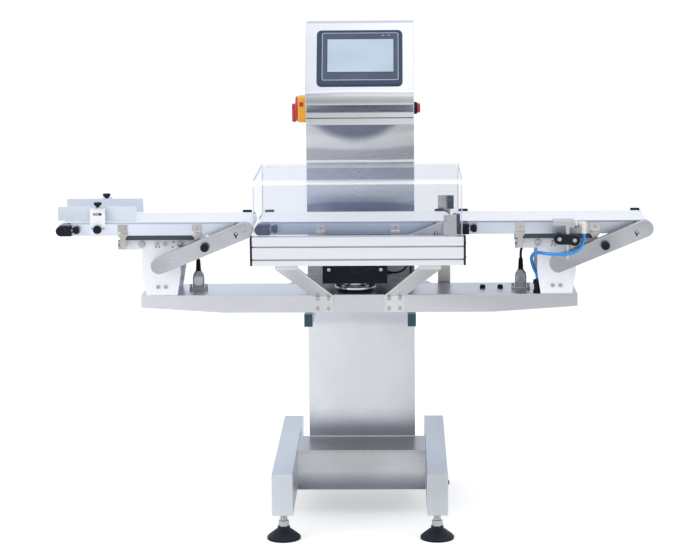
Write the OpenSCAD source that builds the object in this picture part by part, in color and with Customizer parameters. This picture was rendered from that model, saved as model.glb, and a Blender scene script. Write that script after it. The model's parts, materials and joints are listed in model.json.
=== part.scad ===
/* [Base] */
// Width of a leg tube
leg_w = 50; // [40:1:70]
// Height of a leg tube
leg_h = 100; // [60:1:120]
// Length of a leg tube, front to back
leg_l = 600; // [560:5:800]
// Wall of the base tubes
base_wall = 3; // [2:0.5:5]
// Clear width between the legs
base_w = 316; // [280:2:400]
// Height of the underside of the legs above the floor
foot_h = 70; // [60:1:100]
// Diameter of a foot pad
pad_d = 80; // [70:1:100]
// Distance between the two bolt holes of a pad
pad_hole_pitch = 62; // [58:1:66]
// Diameter of a bolt hole in a pad
pad_hole_d = 9; // [6:0.5:10]
// Diameter of a foot stem
stem_d = 16; // [12:1:20]
// Distance of a foot from the end of its leg
foot_inset = 52; // [45:1:90]
// How far the base box reaches in front of the legs' middle
base_reach = 68; // [40:1:120]
// How far the wide part of the base box reaches behind the column's front face
base_lap = 5; // [0:1:60]

/* [Column] */
// Width of the column
column_w = 266; // [240:2:300]
// Depth of the column
column_d = 180; // [150:2:200]
// Distance of the column's front face behind the legs' middle
column_y = 75; // [60:1:100]
// Sheet thickness of the column and the console
sheet_t = 2; // [1.5:0.25:3]
// Height of the joint between column and console head
joint_z = 957; // [930:1:1000]
// Width of the rear door
door_w = 242; // [200:2:256]
// Height of the rear door
door_h = 646; // [400:2:680]
// Height of the rear door's lower edge
door_z = 242; // [220:1:260]
// Overlap of the door on the column's rear wall
door_lap = 8; // [6:0.5:12]

/* [Console head] */
// Height of the straight skirt of the head
skirt_h = 31; // [20:1:50]
// Height of the chamfer above the skirt
chamfer_h = 21; // [10:1:40]
// Height of the straight lip above the chamfer
lip_h = 31; // [15:1:50]
// How far the lip stands in front of the column
lip_out = 30; // [15:1:40]
// Length of the slanted face
face_l = 189; // [180:1:220]
// Tilt of the slanted face from the vertical
face_tilt = 30; // [20:1:40]
// Width of the control panel's bezel
panel_w = 211; // [180:1:230]
// Height of the control panel's bezel
panel_h = 151; // [120:1:160]
// How far the bezel stands off the face
panel_t = 6; // [4:0.5:10]
// Width of the screen glass
glass_w = 188; // [150:1:195]
// Height of the screen glass
glass_h = 129; // [100:1:140]

/* [Switches] */
// Height of the main switch and the button
switch_z = 990; // [988:1:996]
// Side of the main switch's yellow body
switch_w = 64; // [50:1:66]
// Thickness of the yellow body
switch_t = 19; // [12:1:30]
// Diameter of the red turning disc
dial_d = 62; // [40:1:64]
// Outer diameter of the button's bezel
button_d = 30; // [26:1:40]
// Diameter of the button's cap
button_cap_d = 24; // [18:1:25]
// Travel of the button's cap
button_travel = 4; // [2:0.5:4.5]

/* [Carrier] */
// Half length of the lower beam
beam_half = 514; // [505:1:540]
// Half length of its straight middle
beam_flat_half = 316; // [250:2:400]
// Height of the lower beam's top
beam_z = 587; // [580:1:595]
// Height of the lower beam in its middle
beam_h = 43; // [36:1:50]
// Height of the lower beam at its ends
beam_end_h = 30; // [20:1:35]
// Front face of the lower beam, in front of the legs' middle
beam_front = 225; // [224:1:226]
// Depth of the lower beam
beam_d = 159; // [156:1:170]
// Wall of the beam and the neck
beam_wall = 2.5; // [2:0.25:4]
// Height of the neck between beam and column
neck_h = 71; // [60:1:90]
// Half width of the neck at the beam
neck_half = 172; // [150:2:200]
// Width of a neck arm
arm_w = 20; // [15:1:30]
// Height of a neck arm
arm_h = 30; // [20:1:40]
// How far the arms reach in front of the neck
arm_reach = 34; // [10:1:60]
// Half length of the aluminium beam
rail_half = 244; // [240:1:246]
// Height of the aluminium beam's top
rail_z = 736; // [734:1:738]
// Height of the aluminium beam
rail_h = 66; // [60:1:68]
// Depth of the aluminium beam
rail_d = 34; // [30:1:40]
// Width of a slot in the aluminium beam
slot_w = 4; // [3:0.5:6]
// Thickness of a plastic end cap
cap_t = 5; // [3:0.5:8]
// Width of a strut
strut_w = 46; // [40:1:50]
// Thickness of a strut
strut_t = 5; // [3:0.5:8]

/* [Conveyors] */
// Distance from one conveyor's middle to the next
pitch = 464; // [463:1:480]
// Height of the belts' top
belt_z = 763; // [762:0.5:766]
// Width of a belt
belt_w = 158; // [120:1:160]
// Thickness of a belt
belt_t = 2; // [1:0.25:3]
// Radius of the rollers
roller_r = 13; // [11:0.5:13]
// Tail roller's distance left of the conveyor's middle
tail_x = 223; // [215:1:224]
// Drive roller's distance right of the conveyor's middle
drive_x = 202; // [190:1:203]
// Outer width of the side frame
frame_w = 170; // [166:1:172]
// Thickness of a side plate
plate_t = 3; // [2:0.5:4]
// Height of a side plate
plate_h = 27; // [24:1:28]
// Middle of the belts, in front of the legs' middle
belt_y = 155; // [154:1:156]
// Diameter of the roller shafts
shaft_d = 10; // [8:0.5:12]
// Radial play of shafts and pins in their bores
play = 0.05; // [0.03:0.01:0.08]
// Length of a bearing block
block_l = 36; // [30:1:36]
// Height of a bearing block
block_h = 24; // [18:1:26]
// Thickness of a bearing block
block_t = 15; // [14.5:0.5:18]
// Outer radius of a belt guard
guard_r = 19.5; // [18:0.5:20]
// Thickness of a belt guard
guard_t = 22; // [18:1:22]
// Height of the motor shafts
motor_z = 665; // [664:1:668]
// Side of a motor
motor_w = 57; // [42:1:57]
// Length of a motor
motor_l = 100; // [70:1:110]
// Diameter of a hand knob
knob_d = 20; // [16:1:22]
// Diameter of a belt tension knob
tension_knob_d = 18; // [14:1:19]

/* [Stands] */
// Height of the stands' top edge
stand_z = 721; // [719:1:723]
// Half width of the stands' upper band
band_half = 93; // [92:1:100]
// Height of the upper band
band_h = 25; // [20:1:30]
// Half width of the stands below the band
stand_half = 45; // [40:1:50]
// Half width of the stands at the foot
stand_foot_half = 36.5; // [32:0.5:40]
// Height over the beam at which the stands start to narrow
stand_waist_h = 50; // [40:1:70]
// Thickness of the stand plates
stand_t = 5; // [3:0.5:6]
// Diameter of the load cell's flange
cell_d = 98; // [80:1:110]
// Thickness of the load cell's flange
cell_flange_h = 13; // [8:1:14]
// Diameter of the load cell's body
cell_body_d = 55; // [40:1:70]
// Height of the load cell's body
cell_body_h = 13; // [8:1:15]
// Left edge of the weigh stand from the middle
weigh_left = 85; // [70:1:92]
// Right edge of the weigh stand from the middle
weigh_right = 67; // [60:1:92]
// Thickness of the weigh stand's foot
weigh_foot_h = 20; // [12:1:22]

/* [Cover] */
// Half length of the tunnel cover
cover_half = 241; // [230:1:243]
// Thickness of the cover's sheet
cover_t = 5; // [3:0.5:6]
// Height of the cover's top
cover_z = 868; // [840:1:900]
// Front of the cover, in front of the legs' middle
cover_front = 306; // [304:1:310]
// Rear of the cover, behind the legs' middle
cover_rear = 30; // [20:1:36]
// Height of the cover's rear edge
cover_rear_z = 720; // [700:1:730]
// Radius of the cover's bends
cover_bend_r = 12; // [8:1:20]

/* [Guides and eyes] */
// Length of a guide plate
guide_l = 184; // [120:1:186]
// Left end of the guides from the infeed's middle
guide_left = 240; // [236:1:242]
// Height of a guide plate
guide_h = 33; // [25:1:33]
// Thickness of a guide plate
guide_t = 3; // [2:0.5:4]
// Distance between the guide plates
guide_gap = 137; // [120:1:140]
// Width of a guide bracket
bracket_w = 36; // [26:1:40]
// Width of a photo-eye
eye_w = 16; // [12:1:20]
// Height of the front photo-eye
eye_h = 38; // [30:1:44]

/* [Reject unit and plugs] */
// Diameter of the upright rod
rod_d = 10; // [8:0.5:12]
// Diameter of the air tube
tube_d = 8; // [6:0.5:8]
// Diameter of the motor cables
cable_d = 6; // [4:0.5:7]
// Diameter of the load cell cable
cell_cable_d = 5; // [4:0.5:6]

/* [Hidden] */
$fn = 48;
cut = 1;
gap = 0.3;
slide_gap = 0.2;

// Heights and depths worked out from the driving sizes
leg_top = foot_h + leg_h;
leg_x = (base_w + leg_w) / 2;
column_half = column_w / 2;
column_rear = column_y + column_d;
switch_y = column_y + column_d / 2;
lip_y = column_y - lip_out;
skirt_out = 2;
skirt_top = joint_z + skirt_h;
chamfer_top = skirt_top + chamfer_h;
face_z = chamfer_top + lip_h;
head_top = face_z + face_l * cos(face_tilt);
head_edge_y = lip_y + face_l * sin(face_tilt);
beam_bottom = beam_z - beam_h;
beam_rear = beam_front - beam_d;
neck_bottom = beam_z - neck_h;
arm_x = column_half - arm_w / 2 + skirt_out;
rail_bottom = rail_z - rail_h;
rail_gap = 2;
side_y = frame_w / 2;
belt_r = roller_r + belt_t;
axle_z = belt_z - belt_r;
bed_z = belt_z - belt_t - gap;
frame_left = tail_x + belt_r + skirt_out;
frame_right = drive_x + shaft_d;
frame_drop = 4;
frame_top = belt_z - frame_drop;
frame_bottom = frame_top - plate_h;
clip_t = 3;
guard_gap = 14;
guard_back = belt_y + side_y + guard_gap;
guard_front = guard_back + guard_t;
guard_x = drive_x - skirt_out;
guard_z = axle_z - skirt_out / 2;
guard_wall = 2;
rail_back = guard_front + rail_gap;
rail_front = rail_back + rail_d;
stand_front = beam_front - skirt_out;
stand_rear = 2 * belt_y - stand_front;
cell_x = -(weigh_left - weigh_right) / 2;
cell_top = beam_z + cell_flange_h + cell_body_h;
weigh_foot_top = cell_top + weigh_foot_h;
cradle_h = frame_bottom - stand_z;
cradle_d = 22;

// The whole part is moved so that its box is centred over the origin
box_left = -pitch - tail_x - belt_r - frame_drop;
box_right = pitch + guard_x + guard_r;
box_front = -rail_front;
box_rear = leg_l / 2;
middle_x = (box_left + box_right) / 2;
middle_y = (box_front + box_rear) / 2;

// Small pieces: levelling feet
pad_rim_h = 6;
pad_dome_share = 0.55;
pad_dome_h = 21;
pad_neck_d = 30;
pad_neck_z = 25;
pad_h = 31;
stem_z = 20;
nut_r = 14;
nut_h = 11;
collar_r = 13;
collar_h = 14;

// Small pieces: door, hinge and latch
door_gap = 0.3;
hinge_d = 8;
hinge_pin_d = 4;
hinge_l = 30;
hinge_x = -(door_w / 2 + 5);
hinge_y = column_rear + 5;
hinge_inset = 90;
latch_d = 24;
latch_h = 8;
latch_pin_d = 8;
latch_inset = 21;
cam_l = 34;
cam_w = 12;
cam_t = 2.5;

// Small pieces: panel, switch and button
panel_r = 12;
panel_shift = 3;
panel_side_play = 1;
panel_back_t = 28;
panel_back_in = 10;
glass_t = 1.5;
glass_shift = 3.5;
glass_play = 0.2;
glass_r = 4;
switch_plate_w = 66;
switch_plate_t = 4;
dial_t = 6;
grip_w = 14;
grip_l = 46;
grip_t = 9;
grip_up_share = 0.28;
dial_pin_d = 8;
dial_pin_l = 10;
button_t = 9;
button_wall = 2;
button_out = 7.5;
button_rest = 6.5;

// Small pieces: aluminium beam, caps and struts
slot_depth = 3;
slot_room_w = 10;
slot_room_d = 5;
slot_low = 14;
slot_high = 22;
core_d = 14;
core_y = 13;
core_share = 0.25;
cap_peg_l = 8;
cap_peg_play = 0.2;
arm_wall = 2;
plug_t = 3;
plug_l = 10;
plug_play = 0.2;
strut_x = 84;
strut_head_x = 166;
strut_head_w = 52;
strut_head_d = 26;
strut_head_in = 4;
strut_foot_up = 41;
strut_edge = 4;
strut_screw_x = 13;
strut_screw_z = 12;

// Small pieces: conveyors
bed_t = 4;
tie_d = 12;
tie_x = 88;
tie_bite = 1;
block_out = 4;
block_drop = 3;
shaft_hole_d = 14;
pulley_r = 11;
pulley_w = 10;
pulley_in = 5;
timing_t = 1.5;
timing_w = 8;
motor_shaft_d = 8;
motor_hole_d = 24;
motor_box_w = 40;
motor_box_h = 20;
screw_d = 6;
knob_l = 15;
tension_screw_d = 5;
knob_gap = 3;
hanger_x = 87;
hanger_w = 23;
hanger_l = 57;
hanger_low_w = 13;
hanger_shoulder_h = 6;
hanger_web_w = 12;
hanger_web_h = 10;
hanger_web_z = 14;
hanger_bolt_d = 8;
hanger_bolt_l = 6;
hanger_top_gap = 2;
guard_knob_share = 0.54;
guard_knob_l = 16;

// Small pieces: stands and cradles
tie_bar_d = 12;
tie_high_x = 84;
tie_low_x = 26;
tie_low_z = 23;
cradle_half = 81;

// Small pieces: cover rests
rest_w = 20;
rest_x = 100;
rest_h = 6;
rest_back = 8;

// Small pieces: guides
guide_up = 3;
guide_top = belt_z + guide_up + guide_h;
bracket_x = -145;
bracket_t = 3;
tongue_w = 22;
tongue_l = 37;
tongue_slot_w = 6.6;
tongue_slot_l = 27;
tongue_slot_in = 5;
stud_in = 7;
flange_l = 12;
cone_h = 14;
cone_top_d = 19;
cone_low_d = 9;

// Small pieces: photo-eyes
eye_x = 228;
eye_rear_x = 219;
eye_d = 19;
eye_rear_h = 31;
eye_gap = 5;
eye_low = 11;
eye_plug_w = 21;
eye_plug_h = 21;
eye_plug_d = 15;
eye_plug_up = 3;
eye_plate_w = 30;
eye_plate_t = 3;
eye_foot_d = 12;
eye_wall_y = 17;
eye_post_low = 40;
eye_post_off = 11;

// Small pieces: reject unit
clamp_x = 1;
clamp_z = 727;
clamp_d = 26;
clamp_l = 20;
clamp_span = 35;
clamp_drop = 3;
rod_x = 20;
rod_low = 679;
rod_clear = 5;
arm_d = 10;
nozzle_z = 766;
nozzle_t = 2.5;
nozzle_left = 14;
nozzle_w = 50;
nozzle_d = 43;
nozzle_lip = 8;
nozzle_out = 6;
jet_w = 14;
jet_d = 19;
jet_h = 12;
hex_r = 9;
hex_l = 16;
elbow_d = 14;
elbow_l = 12;
elbow_drop = 22;

// Small pieces: plugs, sockets and glands
plug_x = 384;
plug_y = 150;
plug_w = 27;
plug_d = 16;
plug_h = 46;
plug_wing_w = 44;
plug_wing_d = 14;
plug_wing_h = 5;
boot_d = 13;
boot_tip_d = 9;
boot_h = 28;
bulkhead_x = 421;
bulkhead_y = 196;
bulkhead_d = 20;
bulkhead_h = 30;
socket_x = [294, 336];
socket_y = 139;
socket_d = 14;
socket_h = 7;
gland_x = 123;
gland_y = 56;
gland_d = 16;
gland_h = 16;
cell_gland_y = 130;
cell_gland_d = 10;
cell_gland_l = 8;
inlet_x = 60;
inlet_z = 205;
inlet_d = 20;
inlet_hex_r = 14;
inlet_l = 20;
inlet_bore_d = 9;

// Small pieces: control gear
gear_w = 210;
gear_h = 560;
gear_z = 270;
gear_t = 3;
gear_post_d = 10;
gear_post_l = 7;
gear_post_x = 84;
gear_unit_w = 45;
gear_unit_h = 120;
gear_unit_d = 70;
gear_units = 3;
gear_pitch = 60;
gear_supply_w = 110;
gear_supply_h = 150;
gear_strip_w = 168;
gear_strip_h = 40;
gear_strip_up = 10;
gear_supply_up = 80;
gear_strip_d = 45;

// Screw heads
head_d = 9;
head_h = 3;
hex_head_r = 7.5;
hex_head_h = 5.3;
stand_screw_x = 9;
stand_screw_low = 20;
stand_screw_top = 12;
weigh_bolt_x = 61;
weigh_bolt_up = 13;
cell_screws = 4;
cell_screw_r = 40;

// Routes of the cords, chosen by hand
tube_route = [
    [522, -280, 738], [522, -280, 729], [520, -282, 717], [513, -286, 705], [502, -292, 697],
    [486, -297, 693], [468, -298, 692], [450, -294, 692], [434, -285, 692], [421, -271, 692],
    [412, -255, 689], [407, -238, 682], [405, -222, 671], [408, -209, 657], [413, -201, 642],
    [419, -197, 630], [421, -196, 617]
];
infeed_route = [
    [-384, -150, 661], [-384, -150, 673], [-386, -150, 684], [-392, -150, 694], [-401, -150, 700],
    [-412, -150, 703], [-426, -150, 703.5], [-444, -150, 703.5]
];
outfeed_route = [
    [384, -150, 661], [384, -150, 673], [386, -150, 684], [392, -150, 694], [401, -150, 700],
    [412, -150, 703], [426, -150, 703.5], [444, -150, 703.5]
];
cell_route = [
    [75, -130, 623], [87, -130, 623], [98, -126, 625], [107, -116, 629], [113, -103, 634],
    [117, -89, 637], [120, -75, 636], [123, -62, 628], [123, -56, 616], [123, -56, 603]
];

// Inward offset of a polygon given counterclockwise
function inset(p, t) = [
    for (i = [0:len(p) - 1])
        let (a = p[(i + len(p) - 1) % len(p)], b = p[i], c = p[(i + 1) % len(p)])
        let (u = (b - a) / norm(b - a), v = (c - b) / norm(c - b))
        let (m = [-u.y, u.x], n = [-v.y, v.x])
        b + t * (m + n) / (1 + m * n)
];

module centred() {
    translate([-middle_x, -middle_y, 0]) children();
}

module box(x, y, z) {
    translate([x[0], y[0], z[0]]) cube([x[1] - x[0], y[1] - y[0], z[1] - z[0]]);
}

module x_rod(d, x, y, z) {
    translate([x[0], y, z]) rotate([0, 90, 0]) cylinder(d = d, h = x[1] - x[0]);
}

module y_rod(d, x, y, z) {
    translate([x, y[0], z]) rotate([-90, 0, 0]) cylinder(d = d, h = y[1] - y[0]);
}

module z_rod(d, x, y, z) {
    translate([x, y, z[0]]) cylinder(d = d, h = z[1] - z[0]);
}

// Six-sided bar along Y
module y_hex(r, x, y, z) {
    translate([x, y[0], z]) rotate([-90, 0, 0]) cylinder(r = r, h = y[1] - y[0], $fn = 6);
}

// Six-sided bar along X
module x_hex(r, x, y, z) {
    translate([x[0], y, z]) rotate([0, 90, 0]) cylinder(r = r, h = x[1] - x[0], $fn = 6);
}

// Outline in the Y-Z plane pushed along X
module along_x(x, points) {
    translate([x[0], 0, 0]) rotate([90, 0, 90]) linear_extrude(x[1] - x[0]) polygon(points);
}

// Outline in the X-Z plane pushed along Y
module along_y(y, points) {
    translate([0, y[1], 0]) rotate([90, 0, 0]) linear_extrude(y[1] - y[0]) polygon(points);
}

module round_plate(w, h, t, r) {
    linear_extrude(t) {
        square([w - 2 * r, h], center = true);
        square([w, h - 2 * r], center = true);
        for (i = [-1, 1], j = [-1, 1])
            translate([i * (w / 2 - r), j * (h / 2 - r)]) circle(r = r);
    }
}

// Round tube swept through a list of points, with square ends
module swept(route, d, sides, guide) {
    n = len(route);
    rings = [
        for (i = [0:n - 1])
            let (a = route[max(i - 1, 0)], b = route[min(i + 1, n - 1)])
            let (w = (b - a) / norm(b - a), s = cross(w, guide), u = s / norm(s), v = cross(w, u))
            [for (k = [0:sides - 1])
                route[i] + d / 2 * (cos(360 * k / sides) * u + sin(360 * k / sides) * v)]
    ];
    skin = [
        for (i = [0:n - 2], k = [0:sides - 1])
            let (a = i * sides + k, b = i * sides + (k + 1) % sides)
            each [[a, a + sides, b], [b, a + sides, b + sides]]
    ];
    start = [for (k = [1:sides - 2]) [0, k, k + 1]];
    last = (n - 1) * sides;
    end = [for (k = [1:sides - 2]) [last, last + k + 1, last + k]];
    polyhedron([for (r = rings) each r], concat(skin, start, end));
}

function conveyor_x(i) = (i - 1) * pitch;

// Base

module leg(side) {
    x = side * leg_x;
    difference() {
        box([x - leg_w / 2, x + leg_w / 2], [-leg_l / 2, leg_l / 2], [foot_h, leg_top]);
        box([x - leg_w / 2 + base_wall, x + leg_w / 2 - base_wall],
            [-leg_l / 2 + base_wall, leg_l / 2 - base_wall], [foot_h + base_wall, leg_top - base_wall]);
    }
}

module left_leg() {
    color("#c9cdd2") centred() leg(-1);
}

module right_leg() {
    color("#c9cdd2") centred() leg(1);
}

module base_form(inset) {
    wide = base_w / 2 - inset;
    narrow = column_half - inset;
    z = [foot_h + inset, leg_top - inset];
    box([-wide, wide], [-base_reach + inset, column_y + base_lap - inset], z);
    box([-narrow, narrow], [-base_reach + inset, column_rear - inset], z);
}

module base_box() {
    color("#c9cdd2") centred() difference() {
        base_form(0);
        base_form(base_wall);
    }
}

module at_feet() {
    for (i = [-1, 1], j = [-1, 1])
        translate([i * leg_x, j * (leg_l / 2 - foot_inset), 0]) children();
}

module foot_pad() {
    r = pad_d / 2;
    difference() {
        rotate_extrude() polygon([
            [0, 0], [r, 0], [r, pad_rim_h], [r * pad_dome_share, pad_dome_h],
            [pad_neck_d / 2, pad_neck_z], [pad_neck_d / 2, pad_h], [0, pad_h]
        ]);
        z_rod(stem_d + 2 * play, 0, 0, [stem_z, pad_h + cut]);
        for (i = [-1, 1])
            z_rod(pad_hole_d, i * pad_hole_pitch / 2, 0, [-cut, pad_dome_h]);
    }
}

module foot_pads() {
    color("#262a36") centred() at_feet() foot_pad();
}

module foot_stems() {
    color("#b9bec4") centred() at_feet() {
        z_rod(stem_d, 0, 0, [stem_z, foot_h]);
        translate([0, 0, foot_h - nut_h]) cylinder(r = nut_r, h = nut_h, $fn = 6);
        translate([0, 0, pad_h]) cylinder(r = collar_r, h = collar_h, $fn = 6);
    }
}

// Column

door_x = door_w / 2;
door_top = door_z + door_h;

module hinge_stations() {
    for (z = [door_z + hinge_inset, door_top - hinge_inset]) translate([hinge_x, hinge_y, z]) children();
}

module column_shell() {
    color("#d4d7da") centred() {
        difference() {
            box([-column_half, column_half], [column_y, column_rear], [leg_top, joint_z]);
            box([-column_half + sheet_t, column_half - sheet_t], [column_y + sheet_t, column_rear - sheet_t],
                [leg_top + sheet_t, joint_z + cut]);
            box([-door_x + door_lap, door_x - door_lap], [column_rear - sheet_t - cut, column_rear + cut],
                [door_z + door_lap, door_top - door_lap]);
            y_rod(inlet_d + 2 * play, inlet_x, [column_rear - sheet_t - cut, column_rear + cut], inlet_z);
        }
        for (i = [-1, 1])
            box([i * rest_x - rest_w / 2, i * rest_x + rest_w / 2],
                [cover_rear - rest_back, column_y + sheet_t / 2], [cover_rear_z - rest_h, cover_rear_z]);
        hinge_stations() {
            cylinder(d = hinge_pin_d, h = 2 * hinge_l, center = true);
            for (i = [-1, 1]) translate([0, 0, i * (hinge_l * 3 / 4 + gap / 2)]) {
                cylinder(d = hinge_d, h = hinge_l / 2, center = true);
                translate([-hinge_d / 4, (column_rear - sheet_t / 2 - hinge_y) / 2, 0])
                    cube([hinge_d / 2, hinge_y - column_rear + sheet_t / 2, hinge_l / 2], center = true);
            }
        }
    }
}

module column_door() {
    y = column_rear + door_gap;
    latch_x = door_x - latch_inset;
    color("#d4d7da") centred() difference() {
        union() {
            box([-door_x, door_x], [y, y + sheet_t], [door_z, door_top]);
            hinge_stations() {
                cylinder(d = hinge_d, h = hinge_l - gap, center = true);
                translate([0, y - hinge_y + gap, -(hinge_l - gap) / 2])
                    cube([hinge_d, sheet_t, hinge_l - gap]);
            }
        }
        hinge_stations() cylinder(d = hinge_pin_d + 2 * play, h = hinge_l + cut, center = true);
        y_rod(latch_pin_d + 2 * play, latch_x, [y - cut, y + sheet_t + cut], door_z + door_h / 2);
    }
}

module door_latch() {
    x = door_x - latch_inset;
    z = door_z + door_h / 2;
    face = column_rear + door_gap + sheet_t + slide_gap;
    cam_y = column_rear - sheet_t - gap - cam_t;
    color("#262a36") centred() {
        y_rod(latch_d, x, [face, face + latch_h], z);
        y_rod(latch_pin_d, x, [cam_y, face + latch_h], z);
        box([x - cam_w / 2, x + cam_w / 2], [cam_y, cam_y + cam_t], [z - cam_w / 2, z - cam_w / 2 + cam_l]);
    }
}

// Console head

head_points = [
    [column_y - skirt_out, joint_z], [column_rear, joint_z], [column_rear, head_top],
    [head_edge_y, head_top], [lip_y, face_z], [lip_y, chamfer_top], [column_y - skirt_out, skirt_top]
];
panel_mid = face_l / 2 - panel_shift;

module on_face() {
    translate([0, lip_y, face_z]) rotate([-face_tilt, 0, 0]) children();
}

module on_panel(y) {
    on_face() translate([0, y, panel_mid]) rotate([-90, 0, 0]) children();
}

module console_shell() {
    x = column_half - sheet_t;
    color("#dcdfe2") centred() difference() {
        along_x([-column_half, column_half], head_points);
        along_x([-x, x], inset(head_points, sheet_t));
        box([-x, x], [column_y + sheet_t, column_rear - sheet_t], [joint_z - cut, joint_z + sheet_t + cut]);
        on_panel(-sheet_t)
            translate([0, 0, -cut]) linear_extrude(3 * sheet_t)
                square([panel_w - panel_back_in + 2 * panel_side_play,
                    panel_h - panel_back_in + 2 * panel_side_play], center = true);
    }
}

module panel_bezel() {
    color("#434f63") centred() difference() {
        union() {
            on_panel(-panel_t) round_plate(panel_w, panel_h, panel_t, panel_r);
            on_panel(-cut) linear_extrude(panel_back_t + cut)
                square([panel_w - panel_back_in, panel_h - panel_back_in], center = true);
        }
        on_panel(-panel_t - cut) translate([0, -glass_shift, 0])
            round_plate(glass_w + 2 * glass_play, glass_h + 2 * glass_play, glass_t + gap + cut, glass_r);
    }
}

module panel_screen() {
    color("#c3d2e4") centred() on_panel(-panel_t) translate([0, -glass_shift, 0])
        round_plate(glass_w, glass_h, glass_t + gap, glass_r);
}

// Main switch on the left, button on the right

switch_face = -column_half - switch_plate_t - switch_t;

module switch_body() {
    w = switch_w / 2;
    p = switch_plate_w / 2;
    color("#f0a830") centred() difference() {
        union() {
            box([-column_half - switch_plate_t, -column_half], [switch_y - p, switch_y + p],
                [switch_z - p, switch_z + p]);
            box([switch_face, -column_half], [switch_y - w, switch_y + w], [switch_z - w, switch_z + w]);
        }
        x_rod(dial_pin_d + 2 * play, [switch_face - cut, switch_face + dial_pin_l + gap], switch_y, switch_z);
    }
}

module switch_handle() {
    dial = switch_face - gap;
    grip = dial - dial_t;
    color("#c0464f") centred() {
        x_rod(dial_d, [grip, dial], switch_y, switch_z);
        x_rod(dial_pin_d, [grip, switch_face + dial_pin_l], switch_y, switch_z);
        box([grip - grip_t, grip + cut], [switch_y - grip_w / 2, switch_y + grip_w / 2],
            [switch_z - grip_l * (1 - grip_up_share), switch_z + grip_l * grip_up_share]);
    }
}

module button_bezel() {
    color("#222638") centred() difference() {
        x_rod(button_d, [column_half, column_half + button_t], switch_y, switch_z);
        x_rod(button_cap_d + 2 * play, [column_half + button_wall, column_half + button_t + cut],
            switch_y, switch_z);
    }
}

module button_cap() {
    color("#a82c38") centred()
        x_rod(button_cap_d, [column_half + button_rest, column_half + button_t + button_out],
            switch_y, switch_z);
}

// Carrier

beam_points = [
    [-beam_half, beam_z - beam_end_h], [-beam_flat_half, beam_bottom], [beam_flat_half, beam_bottom],
    [beam_half, beam_z - beam_end_h], [beam_half, beam_z], [-beam_half, beam_z]
];

module lower_beam() {
    color("#cfd2d6") centred() difference() {
        along_y([-beam_front, -beam_rear], beam_points);
        along_y([-beam_front + beam_wall, -beam_rear - beam_wall], inset(beam_points, beam_wall));
    }
}

neck_points = [
    [-neck_half, -beam_rear], [neck_half, -beam_rear], [column_half, column_y], [-column_half, column_y]
];

module beam_neck() {
    color("#cfd2d6") centred() {
        difference() {
            translate([0, 0, neck_bottom]) linear_extrude(neck_h) polygon(neck_points);
            translate([0, 0, neck_bottom + beam_wall]) linear_extrude(neck_h - 2 * beam_wall)
                polygon(inset(neck_points, beam_wall));
        }
        for (i = [-1, 1]) translate([i * arm_x, 0, 0]) difference() {
            box([-arm_w / 2, arm_w / 2], [-beam_rear - arm_reach, column_y],
                [neck_bottom - arm_h, neck_bottom]);
            box([-arm_w / 2 + arm_wall, arm_w / 2 - arm_wall],
                [-beam_rear - arm_reach - cut, column_y - arm_wall],
                [neck_bottom - arm_h + arm_wall, neck_bottom - arm_wall]);
        }
    }
}

module beam_struts() {
    foot_z = beam_z - strut_foot_up;
    head_y = -rail_front + strut_head_in;
    color("#c4c7cb") centred() for (i = [-1, 1]) {
        box([i * strut_x - strut_w / 2, i * strut_x + strut_w / 2],
            [-beam_front - strut_t, -beam_front], [foot_z, beam_z]);
        hull() {
            box([i * strut_x - strut_w / 2, i * strut_x + strut_w / 2],
                [-beam_front - strut_t, -beam_front], [beam_z - strut_edge, beam_z]);
            box([i * strut_head_x - strut_head_w / 2, i * strut_head_x + strut_head_w / 2],
                [head_y, head_y + strut_t], [rail_bottom - strut_t - strut_edge, rail_bottom - strut_t]);
        }
        box([i * strut_head_x - strut_head_w / 2, i * strut_head_x + strut_head_w / 2],
            [head_y, head_y + strut_head_d], [rail_bottom - strut_t, rail_bottom]);
    }
}

module core_places() {
    for (k = [-1, 1]) translate([-rail_back - core_y, rail_bottom + rail_h / 2 + k * rail_h * core_share])
        children();
}

module aluminium_beam() {
    color("#d8dbdf") centred() translate([-rail_half, 0, 0]) rotate([90, 0, 90])
        linear_extrude(2 * rail_half) difference() {
            translate([-rail_front, rail_bottom]) square([rail_d, rail_h]);
            for (z = [rail_bottom + slot_low, rail_z - slot_high]) translate([-rail_front, z]) {
                translate([-cut, -slot_w / 2]) square([slot_depth + 2 * cut, slot_w]);
                translate([slot_depth, -slot_room_w / 2]) square([slot_room_d, slot_room_w]);
            }
            core_places() circle(d = core_d);
        }
}

module end_caps() {
    color("#262a36") centred() {
        for (i = [-1, 1]) translate([i * (rail_half + cap_t / 2), 0, 0]) {
            box([-cap_t / 2, cap_t / 2], [-rail_front, -rail_back], [rail_bottom, rail_z]);
            translate([-i * cap_peg_l / 2, 0, 0]) rotate([90, 0, 90]) core_places()
                cylinder(d = core_d - 2 * cap_peg_play, h = cap_peg_l, center = true);
        }
        for (i = [-1, 1]) translate([i * arm_x, -beam_rear - arm_reach, neck_bottom - arm_h / 2]) {
            box([-arm_w / 2, arm_w / 2], [-plug_t, 0], [-arm_h / 2, arm_h / 2]);
            w = arm_w / 2 - arm_wall - plug_play;
            h = arm_h / 2 - arm_wall - plug_play;
            box([-w, w], [-cut, plug_l], [-h, h]);
        }
    }
}

// Stands and load cell

module stand_outline(y, foot) {
    along_y(y, concat(foot, [
        [stand_half, stand_z - band_h], [band_half, stand_z - band_h], [band_half, stand_z],
        [-band_half, stand_z], [-band_half, stand_z - band_h], [-stand_half, stand_z - band_h]
    ]));
}

module tie_bars(low_z) {
    for (i = [-1, 1]) {
        y_rod(tie_bar_d, i * tie_high_x, [-stand_front, -stand_rear], stand_z - band_h / 2);
        y_rod(tie_bar_d, i * tie_low_x, [-stand_front, -stand_rear], low_z);
    }
}

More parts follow.
